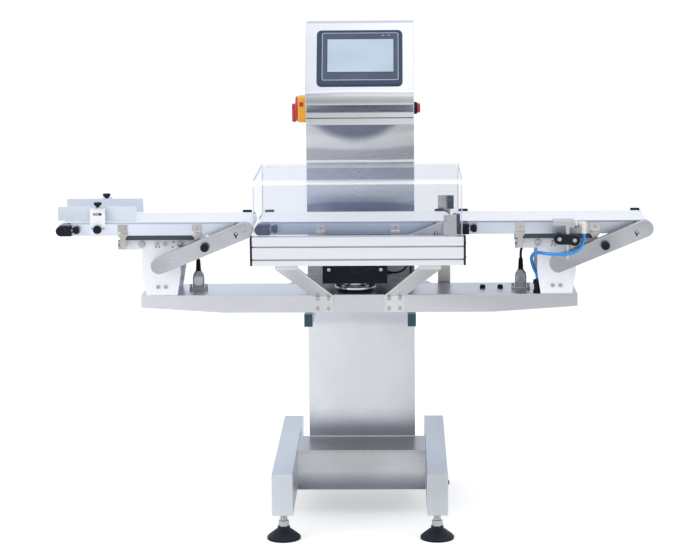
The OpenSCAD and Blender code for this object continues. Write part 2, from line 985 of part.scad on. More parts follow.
module stand_plates(foot) {
    difference() {
        stand_outline([-stand_front, -stand_front + stand_t], foot);
        y_rod(motor_hole_d, 0, [-stand_front - cut, -stand_front + stand_t + cut], motor_z);
    }
    stand_outline([-stand_rear - stand_t, -stand_rear], foot);
}

module conveyor_stands() {
    waist_z = beam_z + stand_waist_h;
    foot = [[-stand_half, waist_z], [-stand_foot_half, beam_z], [stand_foot_half, beam_z],
        [stand_half, waist_z]];
    color("#eef1f6") centred() for (i = [0, 2]) translate([conveyor_x(i), 0, 0]) {
        stand_plates(foot);
        tie_bars(beam_z + tie_low_z);
    }
}

module weigh_stand() {
    color("#262a36") centred() {
        difference() {
            stand_weigh_plate([-stand_front, -stand_front + stand_t]);
            y_rod(motor_hole_d, 0, [-stand_front - cut, -stand_front + stand_t + cut], motor_z);
        }
        stand_weigh_plate([-stand_rear - stand_t, -stand_rear]);
        box([-weigh_left, weigh_right], [-stand_front, -stand_rear], [cell_top, weigh_foot_top]);
        for (i = [-1, 1])
            y_rod(tie_bar_d, i * tie_high_x, [-stand_front, -stand_rear], stand_z - band_h / 2);
    }
}

module stand_weigh_plate(y) {
    box([-weigh_left, weigh_right], y, [cell_top, stand_z - band_h]);
    box([-band_half, band_half], y, [stand_z - band_h, stand_z]);
}

module load_cell() {
    color("#c2c6cc") centred() translate([cell_x, -belt_y, 0]) {
        z_rod(cell_d, 0, 0, [beam_z, beam_z + cell_flange_h]);
        z_rod(cell_body_d, 0, 0, [beam_z + cell_flange_h, cell_top]);
    }
}

module cradle_blocks() {
    color("#33363f") centred() for (i = [0:2], j = [-1, 1]) {
        y = -belt_y + j * (stand_front - belt_y);
        box([conveyor_x(i) - cradle_half, conveyor_x(i) + cradle_half],
            [y - (j > 0 ? stand_t : cradle_d - stand_t), y + (j > 0 ? cradle_d - stand_t : stand_t)],
            [stand_z, frame_bottom]);
    }
}

// Conveyors

module conveyor_frame(i) {
    reach = side_y - plate_t / 2;
    color("#d9dde2") centred() translate([conveyor_x(i), -belt_y, 0]) difference() {
        union() {
            for (j = [-1, 1])
                box([-frame_left + block_out, frame_right], [j * reach - plate_t / 2, j * reach + plate_t / 2],
                    [frame_bottom, frame_top]);
            box([-tail_x + roller_r + gap, drive_x - roller_r - gap], [-belt_w / 2, belt_w / 2],
                [bed_z - bed_t, bed_z]);
            for (k = [-1, 1])
                y_rod(tie_d, k * tie_x, [-reach, reach], bed_z - bed_t + tie_bite - tie_d / 2);
        }
        for (x = [-tail_x, drive_x])
            y_rod(shaft_hole_d, x, [-side_y - cut, side_y + cut], axle_z);
    }
}

module infeed_frame() {
    conveyor_frame(0);
}

module weigh_frame() {
    conveyor_frame(1);
}

module outfeed_frame() {
    conveyor_frame(2);
}

// Flat loop of a belt round two rollers, as an outline in the X-Z plane
module loop_outline(a, b, r) {
    u = (b - a) / norm(b - a);
    n = [-u.y, u.x];
    translate(a) circle(r = r);
    translate(b) circle(r = r);
    polygon([a + r * n, a - r * n, b - r * n, b + r * n]);
}

module loop(y, a, b, r) {
    translate([0, y[1], 0]) rotate([90, 0, 0]) linear_extrude(y[1] - y[0]) loop_outline(a, b, r);
}

module conveyor_belts() {
    a = [-tail_x, axle_z];
    b = [drive_x, axle_z];
    w = belt_w / 2;
    color("#f4f6f9") centred() for (i = [0:2]) translate([conveyor_x(i), -belt_y, 0]) difference() {
        loop([-w, w], a, b, belt_r);
        loop([-w - cut, w + cut], a, b, roller_r + play);
    }
}

module roller(x) {
    w = belt_w / 2 - cut;
    y_rod(2 * roller_r, x, [-w, w], axle_z);
}

module drive_roller(i) {
    color("#b9bec4") centred() translate([conveyor_x(i), -belt_y, 0]) {
        roller(drive_x);
        y_rod(shaft_d, drive_x, [-guard_front + belt_y + pulley_in, side_y + guard_gap], axle_z);
        y_rod(2 * pulley_r, drive_x,
            [-guard_front + belt_y + pulley_in, -guard_front + belt_y + pulley_in + pulley_w], axle_z);
    }
}

module infeed_drive_roller() {
    drive_roller(0);
}

module weigh_drive_roller() {
    drive_roller(1);
}

module outfeed_drive_roller() {
    drive_roller(2);
}

module tail_roller(i) {
    reach = side_y + block_t - cut;
    color("#b9bec4") centred() translate([conveyor_x(i), -belt_y, 0]) {
        roller(-tail_x);
        y_rod(shaft_d, -tail_x, [-reach, reach], axle_z);
    }
}

module infeed_tail_roller() {
    tail_roller(0);
}

module weigh_tail_roller() {
    tail_roller(1);
}

module outfeed_tail_roller() {
    tail_roller(2);
}

tension_z = axle_z - block_drop / 2;
tension_y = side_y + tension_knob_d / 2 + gap;
block_left = tail_x + belt_r + block_out;

module tail_block() {
    top = axle_z + block_h / 2 - block_drop;
    difference() {
        union() {
            box([-block_left + block_h / 2, -block_left + block_l], [0, block_t], [top - block_h, top]);
            y_rod(block_h, -block_left + block_h / 2, [0, block_t], top - block_h / 2);
        }
        y_rod(shaft_d + 2 * play, -tail_x, [-cut, block_t + cut], axle_z);
        x_rod(tension_screw_d + 2 * play, [-block_left + block_l - knob_l / 2, -block_left + block_l + cut],
            side_y + block_t - tension_y, tension_z);
    }
}

module drive_block() {
    difference() {
        box([drive_x - block_l + shaft_d, drive_x + shaft_d], [block_t - guard_gap, block_t],
            [axle_z - block_h / 2, axle_z + block_h / 2]);
        y_rod(shaft_d + 2 * play, drive_x, [-cut, block_t + cut], axle_z);
    }
}

module bearing_blocks() {
    color("#222638") centred() for (i = [0:2], j = [0, 1])
        translate([conveyor_x(i), -belt_y, 0]) mirror([0, j, 0]) translate([0, -side_y - block_t, 0]) {
            tail_block();
            drive_block();
        }
}

module hanger_bracket() {
    top = frame_top - hanger_top_gap;
    low = top - hanger_l;
    y = -side_y;
    neck = frame_bottom - hanger_shoulder_h;
    along_y([y - clip_t, y], [
        [-hanger_low_w / 2, low], [hanger_low_w / 2, low], [hanger_low_w / 2, neck],
        [hanger_w / 2, frame_bottom], [hanger_w / 2, top], [-hanger_w / 2, top],
        [-hanger_w / 2, frame_bottom], [-hanger_low_w / 2, neck]
    ]);
    box([-hanger_web_w / 2, hanger_web_w / 2], [y, belt_y - stand_front],
        [low + hanger_web_z - hanger_web_h, low + hanger_web_z]);
}

module hanger_bolts(side) {
    top = frame_top - hanger_top_gap;
    y = -side_y + hanger_bolt_d / 2;
    for (z = [top - hanger_l + hanger_web_z - hanger_web_h / 2])
        x_rod(hanger_bolt_d, side > 0 ? [hanger_web_w / 2, hanger_web_w / 2 + hanger_bolt_l]
            : [-hanger_web_w / 2 - hanger_bolt_l, -hanger_web_w / 2], y + cut, z);
}

module hanger_brackets() {
    color("#c4c7cb") centred() for (i = [0:2], j = [-1, 1])
        translate([conveyor_x(i) + j * hanger_x, -belt_y, 0]) {
            hanger_bracket();
            hanger_bolts(j);
        }
}

// Drive: guards, timing belts, motors and pulleys

motor_point = [0, motor_z];
drive_point = [drive_x, axle_z];
guard_point = [guard_x, guard_z];

module belt_guards() {
    color("#c6c9cd") centred() for (i = [0:2]) translate([conveyor_x(i), 0, 0]) difference() {
        loop([-guard_front, -guard_back], motor_point, guard_point, guard_r);
        loop([-guard_front + guard_wall, -guard_back + cut], motor_point, guard_point,
            guard_r - guard_wall);
    }
}

timing_y = guard_front - pulley_in - (pulley_w - timing_w) / 2;

module timing_belts() {
    color("#222222") centred() for (i = [0:2]) translate([conveyor_x(i), 0, 0]) difference() {
        loop([-timing_y, -timing_y + timing_w], motor_point, drive_point, pulley_r + play + timing_t);
        loop([-timing_y - cut, -timing_y + timing_w + cut], motor_point, drive_point, pulley_r + play);
    }
}

module drive_motors() {
    y = -stand_front + stand_t;
    w = motor_w / 2;
    color("#3a3d45") centred() for (i = [0:2]) translate([conveyor_x(i), 0, 0]) {
        difference() {
            box([-w, w], [y, y + motor_l], [motor_z - w, motor_z + w]);
            y_rod(motor_shaft_d + 2 * play, 0, [y - cut, y + motor_l / 2], motor_z);
        }
        box([-motor_box_w / 2, motor_box_w / 2], [y + motor_l / 4, y + motor_l],
            [motor_z + w - cut, motor_z + w + motor_box_h]);
    }
}

module motor_pulley(i) {
    color("#9a9ea6") centred() translate([conveyor_x(i), 0, 0]) {
        y_rod(2 * pulley_r, 0, [-guard_front + pulley_in, -guard_front + pulley_in + pulley_w], motor_z);
        y_rod(motor_shaft_d, 0, [-guard_front + pulley_in, -stand_front + stand_t + motor_l / 4], motor_z);
    }
}

module infeed_motor_pulley() {
    motor_pulley(0);
}

module weigh_motor_pulley() {
    motor_pulley(1);
}

module outfeed_motor_pulley() {
    motor_pulley(2);
}

module hand_knobs() {
    screw_x = -block_left + block_l - knob_l / 2 + gap;
    knob_x = -block_left + block_l + knob_gap;
    color("#222638") centred() {
        for (i = [0:2]) translate([conveyor_x(i), -belt_y - tension_y, 0]) {
            x_rod(tension_screw_d, [screw_x, knob_x + knob_l], 0, tension_z);
            x_rod(tension_knob_d, [knob_x, knob_x + knob_l], 0, tension_z);
        }
        for (i = [0, 2]) {
            p = motor_point + (guard_point - motor_point) * guard_knob_share;
            y_rod(knob_d, conveyor_x(i) + p.x, [-guard_front - guard_knob_l, -guard_front], p.y);
        }
        for (j = [0, 1]) guide_side(j) {
            y_rod(knob_d, bracket_x, [-side_y - bracket_t - knob_l, -side_y - bracket_t], axle_z);
            translate([bracket_x, -side_y + stud_in, guide_top + slide_gap])
                cylinder(d1 = cone_low_d, d2 = cone_top_d, h = cone_h);
            z_rod(screw_d, bracket_x, -side_y + stud_in, [guide_top - guide_t - slide_gap, guide_top + cone_h]);
        }
    }
}

// Infeed guides

module guide_side(j) {
    translate([conveyor_x(0), -belt_y, 0]) mirror([0, j, 0]) children();
}

module guide_brackets() {
    flange_z = guide_top - guide_t - slide_gap;
    color("#eef1f6") centred() for (j = [0, 1]) guide_side(j) {
        box([bracket_x - bracket_w / 2, bracket_x + bracket_w / 2], [-side_y - bracket_t, -side_y],
            [frame_bottom + block_drop, flange_z]);
        box([bracket_x - bracket_w / 2, bracket_x + bracket_w / 2], [-side_y - bracket_t, -side_y + flange_l],
            [flange_z - bracket_t, flange_z]);
    }
}

module guide_plate() {
    y = -guide_gap / 2 - guide_t;
    tongue_y = y + guide_t - tongue_l;
    difference() {
        union() {
            box([-guide_left, -guide_left + guide_l], [y, y + guide_t], [belt_z + guide_up, guide_top]);
            box([bracket_x - tongue_w / 2, bracket_x + tongue_w / 2], [tongue_y, y + guide_t],
                [guide_top - guide_t, guide_top]);
        }
        box([bracket_x - tongue_slot_w / 2, bracket_x + tongue_slot_w / 2],
            [tongue_y + tongue_slot_in, tongue_y + tongue_slot_in + tongue_slot_l],
            [guide_top - guide_t - cut, guide_top + cut]);
    }
}

module front_guide() {
    color("#d3dae4") centred() guide_side(0) guide_plate();
}

module rear_guide() {
    color("#d3dae4") centred() guide_side(1) guide_plate();
}

// Tunnel cover

module cover_profile(inner) {
    t = inner ? cover_t : 0;
    r = inner ? cover_bend_r - cover_t : cover_bend_r;
    top = cover_z - t;
    front = -cover_front + t;
    rear = cover_rear - t;
    low = min(rail_z, cover_rear_z) - (inner ? cut : 0);
    translate([front, low]) square([rear - front, top - r - low]);
    translate([front + r, low]) square([rear - front - 2 * r, top - low]);
    translate([front + r, top - r]) circle(r = r);
    translate([rear - r, top - r]) circle(r = r);
}

module tunnel_cover() {
    color("#dfeaf6", 0.4) centred() difference() {
        translate([-cover_half, 0, 0]) rotate([90, 0, 90]) linear_extrude(2 * cover_half) difference() {
            cover_profile(false);
            cover_profile(true);
        }
        box([-cover_half - cut, cover_half + cut], [-cover_front - cut, -cover_front + 2 * cover_t],
            [cover_rear_z - cut, rail_z]);
    }
}

// Photo-eyes

module eye_brackets() {
    front = -rail_front + eye_wall_y;
    edge = eye_x - eye_plate_w;
    back_edge = eye_rear_x - eye_plate_w;
    post_y = -beam_rear + eye_post_off;
    color("#c9c2b8") centred() {
        box([edge, eye_x], [front, front + eye_plate_t], [rail_z, rail_z + eye_low + eye_h]);
        box([edge, eye_x], [front, front + eye_foot_d], [rail_z, rail_z + eye_plate_t]);
        box([back_edge, eye_rear_x], [post_y, post_y + eye_plate_t],
            [beam_z - eye_post_low, belt_z + eye_gap + eye_rear_h]);
        box([back_edge, eye_rear_x], [-beam_rear, post_y + eye_plate_t],
            [beam_z - eye_post_low, beam_z - eye_plate_t]);
    }
}

module photo_eyes() {
    front = -rail_front + eye_wall_y + eye_plate_t;
    body_x = eye_x - eye_w / 2;
    low = rail_z + eye_low;
    color("#2b3142") centred() {
        box([body_x, body_x + eye_w], [front, front + eye_d], [low, low + eye_h]);
        box([body_x + eye_w / 4, body_x + eye_plug_w], [front, front + eye_plug_d],
            [low - eye_plug_h / 4, low + eye_plug_h * 3 / 4]);
        box([eye_rear_x - eye_w / 2, eye_rear_x + eye_w / 2],
            [eye_post_off - beam_rear - eye_d, eye_post_off - beam_rear],
            [belt_z + eye_gap, belt_z + eye_gap + eye_rear_h]);
    }
}

// Reject unit

unit_x = pitch;
unit_y = -guard_front - rod_clear - rod_d / 2;

module rod_clamp() {
    x = unit_x + clamp_x;
    y = [unit_y - clamp_l / 2, unit_y + clamp_l / 2];
    cradle_y = -stand_front + stand_t - cradle_d;
    color("#222638") centred() difference() {
        union() {
            y_rod(clamp_d, x, y, clamp_z);
            y_rod(clamp_d, x + clamp_span, y, clamp_z - clamp_drop);
            box([x, x + clamp_span], y, [clamp_z - clamp_drop - clamp_l / 2, clamp_z + clamp_l / 2]);
            y_rod(arm_d, x, [unit_y, cradle_y], clamp_z);
        }
        z_rod(rod_d + 2 * play, unit_x + rod_x, unit_y, [clamp_z - clamp_d, clamp_z + clamp_d]);
    }
}

module nozzle_rod() {
    x = unit_x + rod_x;
    left = unit_x - nozzle_left;
    front = unit_y - nozzle_out;
    color("#c4c7cb") centred() {
        z_rod(rod_d, x, unit_y, [rod_low, nozzle_z + nozzle_t / 2]);
        box([left, left + nozzle_w], [front, front + nozzle_d], [nozzle_z, nozzle_z + nozzle_t]);
        box([left, left + nozzle_w], [front, front + nozzle_t], [nozzle_z - nozzle_lip, nozzle_z + nozzle_t]);
        box([left + nozzle_w - jet_w, left + nozzle_w], [front + nozzle_t, front + nozzle_t + jet_d],
            [nozzle_z - jet_h, nozzle_z]);
    }
}

module air_fitting() {
    x = unit_x - nozzle_left + nozzle_w;
    y = unit_y - nozzle_out + nozzle_t + jet_d / 2;
    z = nozzle_z - jet_h / 2;
    elbow_x = x + hex_l + elbow_l / 2;
    color("#e9e4d6") centred() {
        x_hex(hex_r, [x, x + hex_l], y, z);
        x_rod(elbow_d, [x + hex_l, elbow_x], y, z);
        translate([elbow_x, y, z]) sphere(d = elbow_d);
        z_rod(elbow_d, elbow_x, y, [z - elbow_drop, z]);
    }
}

module air_tube() {
    color("#1e8fe6") centred() swept(tube_route, tube_d, 10, [0, 1, 0]);
}

// Plugs, sockets, glands and cables

module cable_fittings() {
    base = column_rear - sheet_t;
    color("#222638") centred() {
        z_rod(bulkhead_d, bulkhead_x, -bulkhead_y, [beam_z, beam_z + bulkhead_h]);
        for (x = socket_x) z_rod(socket_d, x, -socket_y, [beam_z, beam_z + socket_h]);
        z_rod(gland_d, gland_x, -gland_y, [beam_z, beam_z + gland_h]);
        x_rod(cell_gland_d, [weigh_right, weigh_right + cell_gland_l], -cell_gland_y,
            cell_top + weigh_foot_h / 2);
        difference() {
            union() {
                y_rod(inlet_d, inlet_x, [base, column_rear + inlet_l], inlet_z);
                y_hex(inlet_hex_r, inlet_x, [column_rear, column_rear + inlet_l / 2], inlet_z);
            }
            y_rod(inlet_bore_d, inlet_x, [base - cut, column_rear + inlet_l + cut], inlet_z);
        }
    }
}

module cable_plugs() {
    color("#555b66") centred() for (i = [-1, 1]) translate([i * plug_x, -plug_y, beam_z]) {
        box([-plug_wing_w / 2, plug_wing_w / 2], [-plug_wing_d / 2, plug_wing_d / 2], [0, plug_wing_h]);
        box([-plug_w / 2, plug_w / 2], [-plug_d / 2, plug_d / 2], [0, plug_h]);
        translate([0, 0, plug_h]) cylinder(d1 = boot_d, d2 = boot_tip_d, h = boot_h);
    }
}

module infeed_cable() {
    color("#222222") centred() swept(infeed_route, cable_d, 8, [0, 1, 0]);
}

module outfeed_cable() {
    color("#222222") centred() swept(outfeed_route, cable_d, 8, [0, 1, 0]);
}

module load_cell_cable() {
    color("#222222") centred() swept(cell_route, cell_cable_d, 8, [1, 0, 1]);
}

// Control gear inside the column

module control_gear() {
    back = column_y + sheet_t;
    plate = back + gear_post_l;
    face = plate + gear_t;
    color("#a9adb5") centred() {
        for (i = [-1, 1], z = [gear_z + gear_strip_h, gear_z + gear_h - gear_strip_h])
            y_rod(gear_post_d, i * gear_post_x, [back, plate], z);
        box([-gear_w / 2, gear_w / 2], [plate, face], [gear_z, gear_z + gear_h]);
        for (k = [0:gear_units - 1]) {
            x = (k - (gear_units - 1) / 2) * gear_pitch;
            box([x - gear_unit_w / 2, x + gear_unit_w / 2], [face, face + gear_unit_d],
                [gear_z + gear_h / 2, gear_z + gear_h / 2 + gear_unit_h]);
        }
        box([-gear_supply_w / 2, gear_supply_w / 2], [face, face + gear_unit_d],
            [gear_z + gear_supply_up, gear_z + gear_supply_up + gear_supply_h]);
        box([-gear_strip_w / 2, gear_strip_w / 2], [face, face + gear_strip_d],
            [gear_z + gear_strip_up, gear_z + gear_strip_up + gear_strip_h]);
    }
}

// Screw and bolt heads

module fasteners() {
    color("#9ea3ab") centred() {
        for (i = [0, 2]) translate([conveyor_x(i), 0, 0]) {
            y = [-stand_front - head_h, -stand_front];
            for (j = [-1, 1]) {
                y_hex(hex_head_r, j * stand_half, [-stand_front - hex_head_h, -stand_front],
                    stand_z - band_h / 2);
                y_rod(head_d, j * stand_screw_x, y, beam_z + stand_screw_low);
                y_rod(head_d, j * stand_screw_x, y, stand_z - stand_screw_top);
            }
        }
        for (i = [-1, 1]) {
            for (j = [-1, 1], k = [-1, 1])
                y_rod(head_d, i * strut_x + j * strut_screw_x,
                    [-beam_front - strut_t - head_h, -beam_front - strut_t],
                    beam_z - strut_foot_up / 2 + k * strut_screw_z);
            y_rod(head_d, cell_x + i * weigh_bolt_x,
                [-stand_front - head_h, -stand_front], weigh_foot_top + weigh_bolt_up);
        }
        for (k = [0:cell_screws - 1]) {
            a = 360 * (k + 1 / 2) / cell_screws;
            z_rod(head_d, cell_x + cell_screw_r * cos(a), -belt_y + cell_screw_r * sin(a),
                [beam_z + cell_flange_h, beam_z + cell_flange_h + head_h]);
        }
    }
}

left_leg();
right_leg();
base_box();
foot_pads();
foot_stems();
column_shell();
column_door();
door_latch();
console_shell();
panel_bezel();
panel_screen();
switch_body();
switch_handle();
button_bezel();
button_cap();
lower_beam();
beam_neck();
beam_struts();
aluminium_beam();
end_caps();
conveyor_stands();
weigh_stand();
load_cell();
cradle_blocks();
infeed_frame();
weigh_frame();
outfeed_frame();
conveyor_belts();
infeed_drive_roller();
weigh_drive_roller();
outfeed_drive_roller();
infeed_tail_roller();
weigh_tail_roller();
outfeed_tail_roller();
bearing_blocks();
hanger_brackets();
belt_guards();
timing_belts();
drive_motors();
infeed_motor_pulley();
weigh_motor_pulley();
outfeed_motor_pulley();
hand_knobs();
guide_brackets();
front_guide();
rear_guide();
tunnel_cover();
eye_brackets();
photo_eyes();
rod_clamp();
nozzle_rod();
air_fitting();
air_tube();
cable_fittings();
cable_plugs();
infeed_cable();
outfeed_cable();
load_cell_cable();
control_gear();
fasteners();
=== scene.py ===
import json
import math
from functools import partial

import bmesh
import bpy
from mathutils import Matrix, Vector

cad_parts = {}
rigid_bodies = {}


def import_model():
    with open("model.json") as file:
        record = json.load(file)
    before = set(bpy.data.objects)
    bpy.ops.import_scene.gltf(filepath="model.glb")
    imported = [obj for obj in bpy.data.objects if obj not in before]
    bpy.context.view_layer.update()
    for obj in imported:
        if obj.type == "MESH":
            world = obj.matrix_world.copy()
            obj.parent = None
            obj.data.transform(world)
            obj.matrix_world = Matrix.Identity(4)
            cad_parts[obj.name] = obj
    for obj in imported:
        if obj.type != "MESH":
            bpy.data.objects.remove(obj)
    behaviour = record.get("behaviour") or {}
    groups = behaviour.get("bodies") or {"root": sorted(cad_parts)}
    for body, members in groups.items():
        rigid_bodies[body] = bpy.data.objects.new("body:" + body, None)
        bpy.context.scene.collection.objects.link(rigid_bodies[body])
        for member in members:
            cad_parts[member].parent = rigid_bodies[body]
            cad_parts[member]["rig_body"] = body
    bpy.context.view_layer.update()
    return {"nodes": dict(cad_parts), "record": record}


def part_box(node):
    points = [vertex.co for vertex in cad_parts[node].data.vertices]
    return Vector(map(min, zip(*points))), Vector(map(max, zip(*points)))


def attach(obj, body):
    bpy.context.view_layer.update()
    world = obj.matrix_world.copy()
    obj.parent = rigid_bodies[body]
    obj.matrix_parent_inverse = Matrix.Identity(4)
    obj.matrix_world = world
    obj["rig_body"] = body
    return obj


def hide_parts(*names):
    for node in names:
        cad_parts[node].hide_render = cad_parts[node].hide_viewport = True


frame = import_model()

# Units: sizes are in millimetres on the model's own axes, HOME is their origin in the frame
MM = 0.001
HOME = Vector((11.25, 6.0, 0.0))
X, Y, Z = Vector((1, 0, 0)), Vector((0, 1, 0)), Vector((0, 0, 1))
SIDES = (-1, 1)
SLOT = {part["node"]: part["material_slot"] for part in frame["record"]["subparts"]}

# Conveyors: middles, belts, axles, frames, guards and motors
CONVEYORS = {"infeed": -464.0, "weigh": 0.0, "outfeed": 464.0}
BELT_Y = -155.0
AXLE_Z = 748.0
TAIL_X, DRIVE_X = -223.0, 202.0
REAR_CAPS = (("infeed", 193.0), ("weigh", -217.0), ("weigh", 192.0), ("outfeed", -214.0), ("outfeed", 198.0))
FRAME_FRONT = -240.0
HANGER_X = 87.0
GUARD_FRONT = -276.0
GUARD_X, GUARD_Z = 200.0, 747.0
# The weigh guard's lower end is painted black within this half width of its middle, as painted shade
GUARD_PAINTED_SHADE = 45.0
PITCH_RADIUS = 10.9
ARC_STEPS = 12
MOTOR_Z = 665.0
LID_Y = 62.5
GUIDE_X = -609.0

# Base, carrier and column
BASE_TOP = 170.0
STEM_FOOT = 46.0
BEAM_TOP = 587.0
BEAM_FRONT = -225.0
BEAD_STEP = 2.2
HEX_SIZE = 12.0
COLUMN_HALF = 133.0
COLUMN_FRONT, COLUMN_REAR = 75.0, 255.0
DOOR_SHEET = 2.3
GEAR_PLATE = 87.0

# Console, switches, cover, jet and plugs
FACE_TILT = math.radians(30.0)
FACE_FOOT = (45.0, 1040.0)
PANEL_UP = 91.5
GLASS_X, GLASS_UP = 1.6, 3.0
DISPLAY_SHIFT = (0.5, 2.4)
SWITCH_Y, SWITCH_Z = 165.0, 990.0
HOUSING = 23.0
COVER_HALF, COVER_TOP = 241.0, 868.0
COVER_FRONT, COVER_REAR = -306.0, 30.0
JET_Y, JET_Z = -280.0, 760.0
PLUG_X, PLUG_Y = 384.0, -150.0

# Sizes along X and Y that tell the kinds of hand knobs: end knobs are longer, clamp knobs wide and flat
END_KNOB_LENGTH = 22.0
CLAMP_KNOB_WIDTH, CLAMP_KNOB_DEPTH = 19.5, 18.5

# Limits: points that are joined, flat faces, edges that are rounded, shading in degrees, a bend's slant
WELD = 1e-6
FLAT = math.radians(0.6)
SHARP_EDGE = math.radians(35.0)
SMOOTH_LIMIT = 38.0
BEND_SLANT = 0.15


def at(x, y, z):
    """A point of the model's own axes, in the frame's metres."""
    return (HOME + Vector((x, y, z))) * MM


def middle_of(low, high):
    return (low + high) / 2


def corners(dx, dz):
    return [(i * dx, k * dz) for i in SIDES for k in SIDES]


# Camera, set to the photograph's view

PHOTO_WIDTH = 700
FOCAL_PIXELS = 2138.1
SENSOR = 36.0
PITCH, YAW, ROLL = 9.783, -1.403, -0.499
EYE = (100.73, -5174.98, 1475.46)
FAR_CLIP = 80.0


def make_camera():
    pitch, yaw, roll = (math.radians(angle) for angle in (PITCH, YAW, ROLL))
    look = Vector((math.sin(yaw) * math.cos(pitch), math.cos(yaw) * math.cos(pitch), -math.sin(pitch)))
    level = Vector((math.cos(yaw), -math.sin(yaw), 0))
    rise = level.cross(look)
    right = math.cos(roll) * level + math.sin(roll) * rise
    up = math.cos(roll) * rise - math.sin(roll) * level
    camera = bpy.data.objects.new("camera", bpy.data.cameras.new("camera"))
    camera.data.sensor_width = SENSOR
    camera.data.lens = SENSOR * FOCAL_PIXELS / PHOTO_WIDTH
    camera.data.clip_end = FAR_CLIP
    camera.matrix_world = Matrix.Translation(at(*EYE)) @ Matrix((right, up, -look)).transposed().to_4x4()
    bpy.context.scene.collection.objects.link(camera)
    bpy.context.scene.camera = camera


make_camera()


# Node trees: small helpers that shaders and geometry share

def add(tree, kind, links=None, **settings):
    """Adds a node. links gives a socket, by name or number, a value or another node's socket."""
    made = tree.nodes.new(kind)
    for key, value in settings.items():
        setattr(made, key, value)
    for key, value in (links or {}).items():
        if isinstance(value, bpy.types.NodeSocket):
            tree.links.new(value, made.inputs[key])
        else:
            made.inputs[key].default_value = value
    return made


def kind_of(value):
    """The kind of socket for a value, or the kind itself where it is named."""
    if isinstance(value, str):
        return value
    if isinstance(value, tuple):
        return "Color" if len(value) == 4 else "Vector"
    return "Int" if isinstance(value, int) else "Float"


def new_tree(name, kind, inputs, outputs):
    """A node group with named inputs and outputs, with its two end nodes."""
    tree = bpy.data.node_groups.new(name, kind)
    for label, value in inputs.items():
        socket = tree.interface.new_socket(label, in_out="INPUT", socket_type="NodeSocket" + kind_of(value))
        if not isinstance(value, str):
            socket.default_value = value
    for label, what in outputs.items():
        tree.interface.new_socket(label, in_out="OUTPUT", socket_type="NodeSocket" + what)
    return tree, tree.nodes.new("NodeGroupInput").outputs, tree.nodes.new("NodeGroupOutput").inputs


def output(tree, kind, links=None, **settings):
    """Adds a node and gives its first output."""
    return add(tree, kind, links, **settings).outputs[0]


def maths(tree, operation, first, second=0.0, third=0.0):
    return output(tree, "ShaderNodeMath", {0: first, 1: second, 2: third}, operation=operation)


def plus(tree, first, second):
    return maths(tree, "ADD", first, second)


def minus(tree, first, second):
    return maths(tree, "SUBTRACT", first, second)


def times(tree, first, second):
    return maths(tree, "MULTIPLY", first, second)


def vectors(tree, operation, *values):
    return output(tree, "ShaderNodeVectorMath", dict(enumerate(values)), operation=operation)


def mapped(tree, value, start, end, low, high, **settings):
    """Maps a value's range from start to end to the range from low to high."""
    return output(tree, "ShaderNodeMapRange", {
        "Value": value, "From Min": start, "From Max": end, "To Min": low, "To Max": high}, **settings)


# Surface effects that several materials share

def noise(tree, vector, scale, detail=3.0, roughness=0.55, distortion=0.0):
    return add(tree, "ShaderNodeTexNoise", {
        "Vector": vector, "Scale": scale, "Detail": detail, "Roughness": roughness,
        "Distortion": distortion}).outputs["Fac"]


def spread(tree, value, low, high):
    """Maps the useful middle of a noise to a range."""
    return mapped(tree, value, 0.3, 0.7, low, high)


def shaded(tree, colour, factor):
    return output(tree, "ShaderNodeVectorMath", {0: colour, "Scale": factor}, operation="SCALE")


def shader_tree(name, inputs, *outputs):
    """An effect's node group, which starts from a colour or a value and the place on the object."""
    kinds = {label: "Color" if label == "Colour" else "Float" for label in outputs}
    tree, given, result = new_tree(name, "ShaderNodeTree", inputs, kinds)
    return tree, given, result, tree.nodes.new("ShaderNodeTexCoord").outputs["Object"]


def close_surface(tree, given, result, fine, clouds, share):
    """Ends a surface effect: its fine pattern has that share, and slow clouds have the rest."""
    both = plus(tree, times(tree, fine, share), times(tree, clouds, 1.0 - share))
    tone = maths(tree, "MULTIPLY_ADD", minus(tree, both, 0.5), given["Contrast"], 1.0)
    tree.links.new(shaded(tree, given["Colour"], tone), result["Colour"])
    tree.links.new(spread(tree, both, given["Smooth"], given["Rough"]), result["Roughness"])
    tree.links.new(fine, result["Height"])
    return tree


def make_brushing():
    """Fine parallel lines of a satin finish, with slow cloudy changes of tone."""
    tree, given, result, place = shader_tree("brushing", {
        "Colour": (0.6, 0.6, 0.6, 1), "Stretch": (20, 20, 1200), "Contrast": 0.1, "Smooth": 0.25,
        "Rough": 0.4}, "Colour", "Roughness", "Height")
    lines = noise(tree, vectors(tree, "MULTIPLY", place, given["Stretch"]), 1.0, 4.0, 0.65)
    return close_surface(tree, given, result, lines, noise(tree, place, 7.0, 2.0), 0.6)


def make_moulding():
    """Fine even grain of moulded, painted or rubbed surfaces, with slow changes of tone."""
    tree, given, result, place = shader_tree("moulding", {
        "Colour": (0.5, 0.5, 0.5, 1), "Grain": 900.0, "Contrast": 0.08, "Smooth": 0.35, "Rough": 0.5},
        "Colour", "Roughness", "Height")
    grain = noise(tree, place, given["Grain"], 2.0, 0.6)
    return close_surface(tree, given, result, grain, noise(tree, place, 11.0, 3.0), 0.3)


def mix_colours(tree, factor, first, second):
    """Goes from the first colour to the second."""
    change = vectors(tree, "SUBTRACT", second, first)
    return vectors(tree, "ADD", first, shaded(tree, change, factor))


